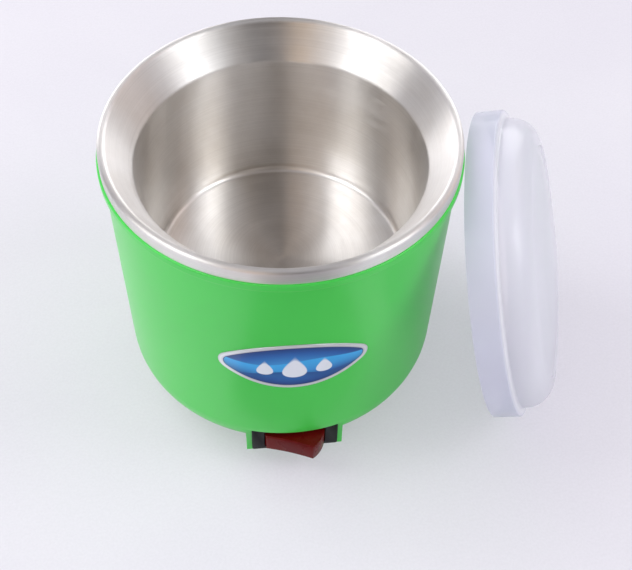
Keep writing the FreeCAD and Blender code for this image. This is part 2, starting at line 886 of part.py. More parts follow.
def heating_element():
    """A flat strip in open rings joined in turn at the left and right of their gap, with two tabs."""
    level = ("strip_under", "strip_top")
    count = int(number("strip_rings"))
    pieces = []
    for i in range(count):
        radius = "(strip_first + %d * strip_pitch)" % i
        disc = rod("ring_disc_%d" % i, radius + " + strip_width / 2", level)
        bind(disc, "Angle", "360 - 2 * strip_gap_angle")
        bore = rod("ring_bore_%d" % i, radius + " - strip_width / 2", level)
        pieces.append(turn_z(cut("ring_%d" % i, disc, bore), "90 + strip_gap_angle"))
    for i in range(count - 1):
        inner = "(strip_first + %d * strip_pitch)" % i
        side = "1" if i % 2 == 0 else "-1"
        angle = "90 - %s * strip_gap_angle" % side
        across = ("-strip_width", "0") if i % 2 == 0 else ("0", "strip_width")
        link = box("link_box_%d" % i, (inner, inner + " + strip_pitch"), across, level)
        pieces.append(turn_z(group("link_%d" % i, link), angle))
    last = "strip_last"
    for name, radius in (("inner", "strip_first"), ("outer", last)):
        left = "(-%s * sin(strip_gap_angle))" % radius
        start = "%s * cos(strip_gap_angle) - strip_width / 2" % radius
        pieces.append(
            box("tab_" + name, (left + " - strip_width / 4", left + " + strip_width * 3 / 4"), (start, "tab_reach"), level)
        )
    node(fuse("heating_element", *pieces), "heating_element")
    crimps = []
    span = ("crimp_start", "crimp_end")
    for name, radius in (("inner", "strip_first"), ("outer", last)):
        middle = "(-%s * sin(strip_gap_angle) + strip_width / 4)" % radius
        sides = (middle + " - crimp_half_width", middle + " + crimp_half_width")
        block = box("crimp_block_" + name, sides, span, ("strip_under - crimp_drop", "strip_under"))
        bore = cross_rod("crimp_bore_" + name, "lead_radius + crimp_clearance", span, middle, "crimp_middle")
        crimps.append(cut("tab_crimp_" + name, block, bore))
    node(group("tab_crimps", *crimps), "tab_crimps")


def thermostat_frame(piece):
    """Carry a piece drawn round the Z axis to the thermostat's place, turned with its radius."""
    piece.Placement = Placement(Vector(), Rotation(Vector(0, 0, 1), 1))
    bind(piece, "Placement.Rotation.Angle", "thermostat_turn")
    bind_place(piece, THERMOSTAT_X, THERMOSTAT_Y)
    return piece


def clamp_plate():
    disc = rod("clamp_disc", "clamp_radius", ("clamp_under", "clamp_top"))
    bore = rod("clamp_bore", "rod_hole", ("clamp_under", "clamp_top"))
    threads = [
        rod(
            "thread_%s" % name,
            "small_screw_radius + thread_gap",
            ("clamp_under", "clamp_top"),
            y="%d * flange_screw_offset" % side,
        )
        for side, name in ((-1, "near"), (1, "far"))
    ]
    node(cut("clamp_plate", disc, bore, thermostat_frame(group("clamp_threads", *threads))), "clamp_plate")


def thermostat():
    """A snap-action thermostat: capsule, cap against the clamp plate, flange, two screws, two blades."""
    cap_under = "(clamp_under - cap_height)"
    flange_under = "(%s - flange_thickness)" % cap_under
    body_under = "(clamp_under - thermostat_height)"
    cap = rod("cap_round", "cap_radius", (cap_under, "clamp_under"))
    node(thermostat_frame(group("thermostat_cap", cap)), "thermostat_cap")
    capsule = rod("capsule_round", "thermostat_radius", (body_under, cap_under))
    node(thermostat_frame(group("thermostat_body", capsule)), "thermostat_body")
    reach = "(flange_screw_offset + flange_end)"
    strap = box("flange_strap", ("-flange_half_width", "flange_half_width"), ("-" + reach, reach), (flange_under, cap_under))
    ring = rod("flange_ring", "thermostat_radius + flange_thickness * 2", (flange_under, cap_under))
    bore = rod("flange_bore", "thermostat_radius + thread_gap", (flange_under, cap_under))
    sides = ((-1, "near"), (1, "far"))
    holes = [
        rod(
            "flange_hole_" + name,
            "small_screw_radius + thread_gap",
            (flange_under, cap_under),
            y="%d * flange_screw_offset" % side,
        )
        for side, name in sides
    ]
    flange = cut("flange_cut", fuse("flange_solid", strap, ring), bore, *holes)
    node(thermostat_frame(group("thermostat_flange", flange)), "thermostat_flange")
    screws = []
    for side, name in sides:
        y = "%d * flange_screw_offset" % side
        head = rod("flange_head_" + name, "small_screw_head", (flange_under + " - small_head_height", flange_under), y=y)
        shank = rod("flange_shank_" + name, "small_screw_radius", (flange_under, "clamp_top"), y=y)
        screws.append(fuse("flange_screw_" + name, head, shank))
    node(thermostat_frame(group("thermostat_screws", *screws)), "thermostat_screws")
    blades = [
        box(
            "thermostat_blade_" + name,
            ("-blade_width / 2", "blade_width / 2"),
            (
                "%d * thermostat_blade_offset - blade_thickness / 2" % side,
                "%d * thermostat_blade_offset + blade_thickness / 2" % side,
            ),
            (body_under + " - thermostat_blade_length", body_under),
        )
        for side, name in sides
    ]
    node(thermostat_frame(group("thermostat_blades", *blades)), "thermostat_blades")


def thermostat_room(name, z):
    """The clear space that the pad and the shield leave for the thermostat."""
    half_x = "(cap_radius + thermostat_clearance)"
    half_y = "(flange_screw_offset + flange_end + thermostat_clearance)"
    space = box(name + "_box", ("-" + half_x, half_x), ("-" + half_y, half_y), z)
    return thermostat_frame(group(name, space))


def insulation_pad():
    level = ("shield_top", "clamp_under")
    disc = rod("pad_disc", "mica_radius", level)
    bore = rod("pad_bore", "pad_inner_radius", level)
    node(cut("insulation_pad", disc, bore, thermostat_room("pad_room", level)), "insulation_pad")


def heat_shield():
    """A shallow upturned dish that keeps the heat off the plastic."""
    inside = "shield_radius - shield_sheet"
    dish = turned(
        "shield_dish",
        [
            ("rod_hole", "shield_under"),
            (inside, "shield_under", "shield_round - shield_sheet"),
            (inside, "shield_top - shield_rim"),
            ("shield_radius", "shield_top - shield_rim"),
            ("shield_radius", "shield_top", "shield_round"),
            ("rod_hole", "shield_top"),
        ],
    )
    level = ("shield_under - 1", "shield_top + 1")
    node(cut("heat_shield", dish, thermostat_room("shield_room", level)), "heat_shield")


# ---------------------------------------------------------------- wiring


def terminal_block():
    """Three brass sleeves in a moulded block on the base cover, with two clamp screws each."""
    middle = "(cover_top + pole_height)"
    front = "(block_distance - block_half_width)"
    back = "(block_distance + block_half_width)"
    top = "(cover_top + block_height)"
    block = box("block_solid", ("-block_half_length", "block_half_length"), (front, back), ("cover_top", top))
    bores = []
    sleeves = []
    wells = []
    screws = []
    for i in (-1, 0, 1):
        x = "%d * pole_spacing" % i
        tag = "%d" % (i + 2)
        bores.append(cross_rod("pole_bore_" + tag, "sleeve_radius", (front, back), x, middle))
        tube = cross_rod("sleeve_tube_" + tag, "sleeve_radius", (front, back), x, middle)
        bore = cross_rod("sleeve_bore_" + tag, "sleeve_bore", (front, back), x, middle)
        taps = []
        for side, name in ((-1, "front"), (1, "back")):
            y = "block_distance + %d * grub_offset" % side
            radius = "grub_radius + thread_gap"
            taps.append(rod("tap_%s_%s" % (name, tag), radius, (middle, middle + " + sleeve_radius"), x, y))
            wells.append(rod("well_%s_%s" % (name, tag), radius, (middle, top), x, y))
            grub = rod(
                "grub_%s_%s" % (name, tag),
                "grub_radius",
                (middle + " + sleeve_bore / 2", top + " - grub_sink"),
                x,
                y,
            )
            screws.append(grub)
        sleeves.append(cut("pole_sleeve_" + tag, tube, bore, *taps))
    node(cut("terminal_block", block, *(bores + wells)), "terminal_block")
    node(group("terminal_sleeves", *sleeves), "terminal_sleeves")
    node(group("terminal_screws", *screws), "terminal_screws")


def cord_gland():
    """A rubber grommet in the back wall whose bore takes the supply cord."""
    above = wall_radius("(gland_height + gland_flange)")
    below = wall_radius("(gland_height - gland_flange)")
    groove_out = "(max(%s; %s) + gland_gap)" % (above, below)
    wall_inside = "(min(%s; %s) - wall)" % (above, below)
    groove_in = "(sqrt(%s ^ 2 - gland_flange ^ 2) - gland_gap)" % wall_inside
    gland = turned(
        "cord_gland",
        [
            ("gland_bore", groove_in + " - gland_lip"),
            ("gland_flange", groove_in + " - gland_lip", "gland_round"),
            ("gland_flange", groove_in),
            ("gland_neck", groove_in),
            ("gland_neck", groove_out),
            ("gland_flange", groove_out),
            ("gland_flange", groove_out + " + gland_lip", "gland_round"),
            ("gland_bore", groove_out + " + gland_lip", "gland_round"),
        ],
    )
    gland.Placement = Placement(Vector(), Rotation(Vector(1, 0, 0), -90))
    bind_place(gland, "0", "0", "gland_height")
    node(gland, "cord_gland")


def lead_path(points, bend):
    """Straight runs joined by tangent arcs."""
    edges = []
    start = points[0]
    for before, here, after in zip(points, points[1:], points[2:]):
        incoming = (before - here).normalize()
        outgoing = (after - here).normalize()
        half = incoming.getAngle(outgoing) / 2
        reach = bend / math.tan(half)
        if (here - start).dot(incoming) * -1 < reach or (after - here).Length < reach:
            raise RuntimeError("a bend at %s doesn't fit its runs" % here)
        first = here + incoming * reach
        last = here + outgoing * reach
        middle_way = (incoming + outgoing).normalize()
        nearest = here + middle_way * (bend / math.sin(half) - bend)
        edges.append(Part.LineSegment(start, first).toShape())
        edges.append(Part.Arc(first, nearest, last).toShape())
        start = last
    edges.append(Part.LineSegment(start, points[-1]).toShape())
    return Part.Wire(edges)


def lead(label, points):
    """A round insulated lead along a route of straight runs."""
    radius = number("lead_radius")
    bend = number("lead_bend")
    path = lead_path(points, bend)
    profile = Part.Wire(Part.Circle(points[0], points[1] - points[0], radius).toShape())
    tube = path.makePipeShell([profile], True, True)
    print("%-14s length %.1f mm, volume / ideal %.4f" % (
        label, path.Length, tube.Volume / (math.pi * radius ** 2 * path.Length)))
    piece = doc.addObject("Part::Feature", label)
    piece.Shape = tube
    node(piece, label)


def tab_end(strip_radius):
    """Where a lead ends inside the crimp of the tab that leaves the strip at this radius."""
    middle = "(-%s * sin(strip_gap_angle) + strip_width / 4)" % strip_radius
    return Vector(number(middle), number("crimp_start"), number("crimp_middle"))


def thermostat_end(side):
    """The foot of one thermostat blade."""
    turn = math.radians(number("thermostat_turn"))
    out = Vector(math.cos(turn), math.sin(turn), 0)
    across = Vector(-math.sin(turn), math.cos(turn), 0)
    foot = Vector(0, 0, number("thermostat_foot"))
    return out * number("thermostat_circle") + across * side * number("thermostat_blade_offset") + foot


def leads():
    """Four inner leads: block to switch, switch to thermostat, thermostat to heater, heater to block."""
    spacing = number("blade_spacing")
    pole = number("pole_spacing")
    straight = number("lead_straight")
    rise = number("lead_rise")
    bow = number("lead_bow")
    slant = number("lead_slant")
    switch_z = number("switch_height")
    pole_z = number("cover_top + pole_height")
    boot_end = number("boot_end")
    front = number("block_distance - lead_inset")
    back = number("block_distance + lead_inset")
    run_z = number("lead_run")
    drop_y = number("crimp_end + lead_bend + crimp_clearance * 4")
    near = thermostat_end(-1)
    far = thermostat_end(1)
    outer = tab_end("strip_last")
    inner = tab_end("strip_first")
    lead("lead_supply", [
        Vector(pole, front, pole_z),
        Vector(pole, front - straight, pole_z),
        Vector(pole + bow, (front + boot_end) / 2, pole_z + rise),
        Vector(spacing, boot_end + straight, switch_z),
        Vector(spacing, boot_end, switch_z),
    ])
    lead("lead_switch", [
        Vector(-spacing, boot_end, switch_z),
        Vector(-spacing, boot_end + straight, switch_z),
        Vector(far.x, far.y, (switch_z + far.z) / 2),
        far,
    ])
    lead("lead_heater", [
        near,
        Vector(near.x, near.y, run_z),
        Vector(outer.x - slant, drop_y, run_z),
        Vector(outer.x, drop_y, outer.z),
        outer,
    ])
    lead("lead_return", [
        inner,
        Vector(inner.x, drop_y, inner.z),
        Vector(inner.x - bow, drop_y, pole_z + 2 * rise),
        Vector(-pole, back + straight, pole_z),
        Vector(-pole, back, pole_z),
    ])


# ---------------------------------------------------------------- lid


def lean_distance():
    """How far out the lid's open face lies, so that its rim just clears the lip and the bowl's rim."""
    tilt = math.radians(number("lid_tilt"))
    centre = number("lid_radius") * math.cos(tilt)
    rim_top, lip_top, lip_foot = number("rim_top"), number("lip_top"), number("lip_foot")
    farthest = 0.0
    for ring in (number("lid_radius"), number("lid_radius - lid_wall")):
        for step in range(-360, 361):
            around = math.radians(step / 4)
            height = centre + ring * math.cos(around) * math.cos(tilt)
            beside = number("lid_shift") + ring * math.sin(around)
            if height > rim_top:
                continue
            if height > lip_top:
                radius = number("rim_radius")
            elif height > lip_foot:
                radius = number("lip_radius")
            else:
                radius = number(wall_radius("%.4f" % height))
            clear = (radius + number("lid_gap")) ** 2 - beside ** 2
            if clear > 0:
                out = math.sqrt(clear) + ring * math.cos(around) * math.sin(tilt)
                farthest = max(farthest, out)
    return farthest


def lid():
    """A translucent domed lid, turned about its own axis and leaned on the shell's lip."""
    top_edge = "(shoulder_height + panel_rise)"
    corners = [
        ("lid_radius", "0"),
        ("lid_radius", "collar_height", "collar_round"),
        ("dome_radius", "collar_height + collar_slope", "collar_round"),
        ("dome_radius", "shoulder_height", "dome_round"),
        ("panel_radius", top_edge),
        ("panel_radius - panel_step", top_edge + " - panel_step"),
        ("0", "crown_height"),
        ("0", "crown_height - lid_wall"),
        ("panel_radius - panel_step", top_edge + " - panel_step - lid_wall"),
        ("dome_radius - lid_wall", "shoulder_height - lid_wall", "dome_round - lid_wall"),
        ("dome_radius - lid_wall", "collar_height + collar_slope - lid_wall"),
        ("lid_radius - lid_wall", "collar_height - lid_wall"),
        ("lid_radius - lid_wall", "0"),
    ]
    body = turned("lid", corners)
    centre_z = "(lid_radius * cos(lid_tilt))"
    lean = "%.4f" % lean_distance()
    body.Placement.Rotation = Rotation(number("lid_turn"), 90 - number("lid_tilt"), 0)
    bind_place(
        body,
        "%s * cos(lid_turn) - lid_shift * sin(lid_turn)" % lean,
        "%s * sin(lid_turn) + lid_shift * cos(lid_turn)" % lean,
        centre_z,
    )
    node(body, "lid")


# ---------------------------------------------------------------- build and export

FOOT_ANGLES = (45, 135, 225, 315)
FOOT_NAMES = ("back_right", "back_left", "front_left", "front_right")


def check_objects():
    """Stop if any object failed to recompute or any sub-part is empty or invalid."""
    for item in doc.Objects:
        if "Invalid" in item.State or "Error" in item.State:
            raise RuntimeError("%s did not recompute: %s" % (item.Label, item.State))
    for item in NODES:
        if item.Shape.isNull() or not item.Shape.isValid():
            raise RuntimeError("%s has no valid shape" % item.Label)


def export_nodes():
    os.makedirs("parts", exist_ok=True)
    for item in NODES:
        item.Shape.exportStep("parts/%s.step" % item.Label)
        bounds = item.Shape.BoundBox
        print("%-24s solids %d  volume %10.1f  z %.2f to %.2f" % (
            item.Label, len(item.Shape.Solids), item.Shape.Volume, bounds.ZMin, bounds.ZMax))


def build():
    fill_sheet()
    wax_bowl()
    outer_shell()
    base_cover()
    feet()
    label_plate()
    switch_housing()
    switch_rocker()
    switch_blades()
    tie_rod_and_nuts()
    nut_cap()
    mica("mica_upper", "mica_upper", "bowl_under")
    heating_element()
    mica("mica_lower", "mica_lower", "strip_under")
    clamp_plate()
    thermostat()
    insulation_pad()
    heat_shield()
    terminal_block()
    cord_gland()
    leads()
    lid()
    doc.recompute()
    check_objects()
    export_nodes()


build()
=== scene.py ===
# %% [markdown]
# # A salon wax heater with its lid leaning on the rim
#
# The real object is a spun steel bowl that sits in a moulded green shell. A plate heater under the
# bowl melts the wax, a rocker switch sits low on the front, and a thin domed lid leans on the rim.
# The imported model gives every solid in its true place. This script dresses it: it rebuilds the
# surfaces that the eye rests on, and gives every other solid a finish of its own.

# %% Load the frame
import json
import math

import bmesh
import bpy
from mathutils import Matrix, Vector


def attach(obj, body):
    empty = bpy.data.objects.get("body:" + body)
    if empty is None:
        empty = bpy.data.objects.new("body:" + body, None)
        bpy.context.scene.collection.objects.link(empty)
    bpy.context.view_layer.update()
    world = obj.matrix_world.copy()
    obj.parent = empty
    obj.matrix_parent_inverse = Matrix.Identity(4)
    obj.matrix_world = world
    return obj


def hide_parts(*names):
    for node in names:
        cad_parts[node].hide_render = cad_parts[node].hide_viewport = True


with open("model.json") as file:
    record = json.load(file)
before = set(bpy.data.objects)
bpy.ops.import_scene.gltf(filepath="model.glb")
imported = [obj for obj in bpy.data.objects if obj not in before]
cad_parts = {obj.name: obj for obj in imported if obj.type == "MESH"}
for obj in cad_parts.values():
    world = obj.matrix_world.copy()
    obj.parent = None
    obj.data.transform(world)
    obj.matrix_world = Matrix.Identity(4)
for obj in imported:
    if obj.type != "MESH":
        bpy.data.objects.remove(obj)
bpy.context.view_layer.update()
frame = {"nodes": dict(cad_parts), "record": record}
nodes = frame["nodes"]
MM = 0.001
print("CAD nodes:", len(nodes))

# %% [markdown]
# ## The camera
# The pot is seen from above and in front, from about half a metre away, so the rim is a wide
# ellipse and the walls taper towards the foot. A camera needs a place, a direction and a lens.
# Writing the three axes straight into its matrix keeps the small roll of a hand-held camera, which
# a "look at" constraint would lose.

# %% Place the camera
eye = Vector((-29.06, -332.18, 452.03)) * MM
right = Vector((0.99405, -0.10693, 0.02088))
up = Vector((0.06998, 0.77353, 0.62988))
forward = Vector((0.08350, 0.62467, -0.77641))
camera_data = bpy.data.cameras.new("camera")
camera_data.sensor_width = 36.0
camera_data.lens = 68.35
camera_data.clip_start = 0.01
camera_data.clip_end = 30.0
camera = bpy.data.objects.new("camera", camera_data)
axes = Matrix((right, up, -forward)).transposed()
camera.matrix_world = Matrix.Translation(eye) @ axes.to_4x4()
bpy.context.scene.collection.objects.link(camera)
bpy.context.scene.camera = camera
print("camera is %.0f mm from the pot's axis" % (eye.xy.length / MM))

# %% [markdown]
# ## Making materials in code
# A finish is a small graph of nodes. Writing each link by hand is long, so one helper adds a node
# and sets its inputs. An input that is given another node's socket is linked to it, and any other
# value is written on the input itself. What is the same all over a piece stays on the shader's own
# socket, where other programs can read it.

# %% Node helper


def add(mat, kind, **inputs):
    """Add a node; a key names one of its inputs, by number as in_0, or one of its settings."""
    made = mat.node_tree.nodes.new(kind)
    settings = {k: v for k, v in inputs.items() if hasattr(made, k)}
    for key, value in settings.items():
        setattr(made, key, value)
    for key, value in inputs.items():
        if key in settings:
            continue
        number = key.startswith("in_")
        socket = made.inputs[int(key[3:]) if number else key.replace("_", " ")]
        if isinstance(value, bpy.types.NodeSocket):
            mat.node_tree.links.new(value, socket)
        else:
            socket.default_value = value
    return made


def new_finish(name, **shader):
    """A material with a Principled shader whose constants are given by name."""
    mat = bpy.data.materials.new(name)
    mat.use_nodes = True
    principled = mat.node_tree.nodes["Principled BSDF"]
    for key, value in shader.items():
        principled.inputs[key.replace("_", " ")].default_value = value
    return mat, principled


def feed(mat, shader, **sources):
    """Link outputs to a shader's inputs, by name."""
    for key, source in sources.items():
        mat.node_tree.links.new(source, shader.inputs[key.replace("_", " ")])


def ramp(mat, factor, stops):
    """A colour ramp: stops are (place, (r, g, b)) or (place, grey)."""
    made = add(mat, "ShaderNodeValToRGB", Fac=factor)
    band = made.color_ramp
    while len(band.elements) < len(stops):
        band.elements.new(0.5)
    for element, (place, shade) in zip(band.elements, stops):
        element.position = place
        colour = shade if isinstance(shade, tuple) else (shade,) * 3
        element.color = (*colour, 1.0)
    return made.outputs["Color"]


print("helpers ready")

# %% [markdown]
# Most finishes use the same few nodes: noise on the piece's own coordinates, a step of arithmetic,
# a fade between two values, a mix of two colours, and a bump. Each gets a short name here. Object
# coordinates are in metres, so a noise scale counts its cells along one metre.

# %% Short names for the usual nodes


def object_place(mat):
    """Coordinates that stay fixed on the piece, in metres."""
    return add(mat, "ShaderNodeTexCoord").outputs["Object"]


def noise(mat, place, scale, detail, **more):
    """Soft noise from 0 to 1."""
    made = add(mat, "ShaderNodeTexNoise", Vector=place, Scale=scale, Detail=detail, **more)
    return made.outputs["Fac"]


def maths(mat, operation, *values):
    """One step of arithmetic on sockets and numbers."""
    inputs = {"in_%d" % i: value for i, value in enumerate(values)}
    return add(mat, "ShaderNodeMath", operation=operation, **inputs).outputs[0]


def fade(mat, value, low, high):
    """0 up to the low value, 1 from the high one, and a straight line between."""
    return add(mat, "ShaderNodeMapRange", in_0=value, in_1=low, in_2=high).outputs[0]


def mixed(mat, factor, under, over, blend="MIX"):
    """Two colours, mixed or multiplied."""
    inputs = {"in_0": factor, "in_6": under, "in_7": over}
    return add(mat, "ShaderNodeMix", data_type="RGBA", blend_type=blend, **inputs).outputs[2]


def bump(mat, height, strength, depth, **more):
    """A normal that follows a height; the depth is in metres."""
    made = add(mat, "ShaderNodeBump", Strength=strength, Distance=depth, Height=height, **more)
    return made.outputs["Normal"]


print("short names ready")

# %% [markdown]
# ## Outlines for turned pieces
# The bowl, the shell, the lid, the feet and the cord's grommet are all round, so each is one
# outline swept about an axis. An outline is a list of corners, radius and height, and a corner may
# have a rounding. Each rounding becomes a short row of points. One more point lies close to each
# end of it, because smooth shading blends over a whole face: the extra points keep that blend off
# the long flat runs.

# %% Round the corners of an outline
HOLD = 0.06


def outline(corners):
    """Points in mm of a closed outline from corners (radius, height[, rounding])."""
    points = []
    for i, corner in enumerate(corners):
        here = Vector(corner[:2])
        if len(corner) == 2:
            points.append(here)
            continue
        before = Vector(corners[i - 1][:2]) - here
        after = Vector(corners[(i + 1) % len(corners)][:2]) - here
        half = before.angle(after) / 2
        before.normalize()
        after.normalize()
        reach = corner[2] / math.tan(half)
        centre = here + (before + after).normalized() * corner[2] / math.sin(half)
        first = here + before * reach
        last = here + after * reach
        turn = (first - centre).angle_signed(last - centre)
        steps = max(3, math.ceil(abs(math.degrees(turn)) / 7.5))
        points.append(first + before * HOLD)
        for k in range(steps + 1):
            points.append(centre + Matrix.Rotation(-turn * k / steps, 2) @ (first - centre))
        points.append(last + after * HOLD)
    return points


print("a quarter round gets", len(outline([(0, 0), (10, 0, 4), (10, 10)])) - 2, "points")

# %% [markdown]
# ## A lathe of Geometry Nodes
# Metal spinning and turning move a profile round an axis, and a node tree can do the same. The
# outline becomes a curve, a circle becomes the rail, and Curve to Mesh sweeps one along the other.
# The rail needs some radius, so the outline is drawn that much nearer its own origin. Points that
# meet on the axis are merged. Edges that turn sharply stay crisp and all others shade smoothly.

# %% Build the lathe
RAIL = 0.1  # metres
MERGE = 1e-6  # metres


def new_tree(name, **inputs):
    """An empty tree with inputs of the given kinds, which gives out one mesh."""
    tree = bpy.data.node_groups.new(name, "GeometryNodeTree")
    for key, kind in inputs.items():
        title = key.replace("_", " ")
        tree.interface.new_socket(title, in_out="INPUT", socket_type="NodeSocket" + kind)
    tree.interface.new_socket("Mesh", in_out="OUTPUT", socket_type="NodeSocketGeometry")
    return tree


def wire(tree, *links):
    """Make links, each given as (node, output, node, input)."""
    for source, output, target, socket in links:
        tree.links.new(source.outputs[output], target.inputs[socket])


def lathe_tree():
    """Profile in, turned and shaded mesh out."""
    tree = new_tree("lathe", Outline="Geometry", Segments="Int", Crisp_Angle="Float", Finish="Material")
    new = tree.nodes.new
    given, result = new("NodeGroupInput"), new("NodeGroupOutput")
    curve, rail = new("GeometryNodeMeshToCurve"), new("GeometryNodeCurvePrimitiveCircle")
    sweep, merge = new("GeometryNodeCurveToMesh"), new("GeometryNodeMergeByDistance")
    angle, compare = new("GeometryNodeInputMeshEdgeAngle"), new("FunctionNodeCompare")
    smooth, crisp = new("GeometryNodeSetShadeSmooth"), new("GeometryNodeSetShadeSmooth")
    real, paint = new("GeometryNodeRealizeInstances"), new("GeometryNodeSetMaterial")
    rail.inputs["Radius"].default_value = RAIL
    merge.inputs["Distance"].default_value = MERGE
    crisp.domain = "EDGE"
    crisp.inputs["Shade Smooth"].default_value = False
    compare.operation = "GREATER_THAN"
    wire(
        tree,
        (given, "Outline", curve, "Mesh"),
        (given, "Segments", rail, "Resolution"),
        (rail, "Curve", sweep, "Curve"),
        (curve, "Curve", sweep, "Profile Curve"),
        (sweep, "Mesh", merge, "Geometry"),
        (merge, "Geometry", smooth, "Geometry"),
        (smooth, "Geometry", crisp, "Geometry"),
        (angle, "Unsigned Angle", compare, 0),
        (given, "Crisp Angle", compare, 1),
        (compare, "Result", crisp, "Selection"),
        (crisp, "Geometry", real, "Geometry"),
        (real, "Geometry", paint, "Geometry"),
        (given, "Finish", paint, "Material"),
        (paint, "Geometry", result, "Mesh"),
    )
    return tree


LATHE = lathe_tree()
print("lathe has", len(LATHE.nodes), "nodes")

# %% [markdown]
# ## From a node tree to a plain mesh
# A modifier's inputs are set by each socket's identifier. The evaluated result is then copied to a
# plain mesh and the modifier is taken off, so that the piece can be bound to its body.
# A closed mesh has a positive volume when its faces point outwards, which is a quick test.

# %% Helpers that run a tree and tidy its mesh


def placed(name, mesh):
    """An object for a mesh, put in the scene."""
    made = bpy.data.objects.new(name, mesh)
    bpy.context.scene.collection.objects.link(made)
    return made


def from_work(name, work):
    """An object for a mesh that was made in bmesh."""
    mesh = bpy.data.meshes.new(name)
    work.to_mesh(mesh)
    work.free()
    return placed(name, mesh)


def set_input(modifier, name, value):
    """Write a node modifier's input, found by its name, through its identifier."""
    for item in modifier.node_group.interface.items_tree:
        if item.item_type == "SOCKET" and item.in_out == "INPUT" and item.name == name:
            modifier[item.identifier] = value


def tidy(mesh):
    """Drop wires left on the axis and turn the faces outwards; return the volume in cubic mm."""
    work = bmesh.new()
    work.from_mesh(mesh)
    wires = [edge for edge in work.edges if not edge.link_faces]
    bmesh.ops.delete(work, geom=wires, context="EDGES")
    volume = work.calc_volume(signed=True)
    if volume < 0:
        bmesh.ops.reverse_faces(work, faces=work.faces)
    open_edges = sum(1 for edge in work.edges if not edge.is_manifold)
    work.to_mesh(mesh)
    work.free()
    if open_edges:
        print("  open edges:", open_edges)
    return abs(volume) / MM**3


def settle(piece, name):
    """Replace a piece's mesh by what its modifiers make of it, and take the modifiers off."""
    graph = bpy.context.evaluated_depsgraph_get()
    mesh = bpy.data.meshes.new_from_object(piece.evaluated_get(graph))
    piece.modifiers.clear()
    piece.data = mesh
    mesh.name = name
    volume = tidy(mesh)
    print("%-16s %6d faces, %9.1f cubic mm" % (name, len(mesh.polygons), volume))
    return piece


def turned(name, corners, finish, segments=192, crisp=30.0):
    """Turn an outline of corners in mm on the lathe, about the Z axis."""
    points = outline(corners)
    count = len(points)
    mesh = bpy.data.meshes.new(name + "_outline")
    spots = [(p.x * MM - RAIL, -p.y * MM, 0) for p in points]
    mesh.from_pydata(spots, [(i, (i + 1) % count) for i in range(count)], [])
    piece = placed(name, mesh)
    modifier = piece.modifiers.new("lathe", "NODES")
    modifier.node_group = LATHE
    set_input(modifier, "Segments", segments)
    set_input(modifier, "Crisp Angle", math.radians(crisp))
    set_input(modifier, "Finish", finish)
    return settle(piece, name)


# %% [markdown]
# ## Spun steel for the bowl
# The bowl is pressed and spun from sheet, then brushed while it turns, so fine rings run round it
# everywhere. Rings spread a reflection at right angles to themselves, which gives the fans of light
# on the floor and the tall soft bands on the wall. Anisotropic gloss with a tangent that runs round
# the Z axis does that. The rings themselves are noise stretched along the circle: its coordinates
# are the direction from the axis, nearly still, and radius plus height, which changes fast.

# %% The bowl's sizes in mm
RIM, RIM_TOP, SHEET = 70.0, 133.2, 1.0
RIM_IN = RIM - 2.7
THROAT, THROAT_Z = 57.5, RIM_TOP - 13.7
FLOOR, FLOOR_Z = 52.5, 60.1
SKIRT_FOOT = RIM_TOP - 5.8
print("the well is %.1f mm deep" % (RIM_TOP - FLOOR_Z))

# %% Steel finish
FLOOR_BAND_LINE, FLOOR_BAND_NEAR, FLOOR_BAND_FAR = -4.0, 6.0, 26.0


def ring_coordinates(mat, around, across):
    """Coordinates that hardly change round the axis and run fast across it."""
    parts = add(mat, "ShaderNodeSeparateXYZ", Vector=object_place(mat)).outputs
    flat = add(mat, "ShaderNodeCombineXYZ", X=parts["X"], Y=parts["Y"]).outputs[0]
    length = add(mat, "ShaderNodeVectorMath", operation="LENGTH", in_0=flat).outputs["Value"]
    unit = add(mat, "ShaderNodeVectorMath", operation="NORMALIZE", in_0=flat).outputs[0]
    run = maths(mat, "MULTIPLY", maths(mat, "ADD", length, parts["Z"]), across)
    wide = add(mat, "ShaderNodeVectorMath", operation="SCALE", in_0=unit, Scale=around).outputs[0]
    lift = add(mat, "ShaderNodeCombineXYZ", Z=run).outputs[0]
    return add(mat, "ShaderNodeVectorMath", operation="ADD", in_0=wide, in_1=lift).outputs[0]


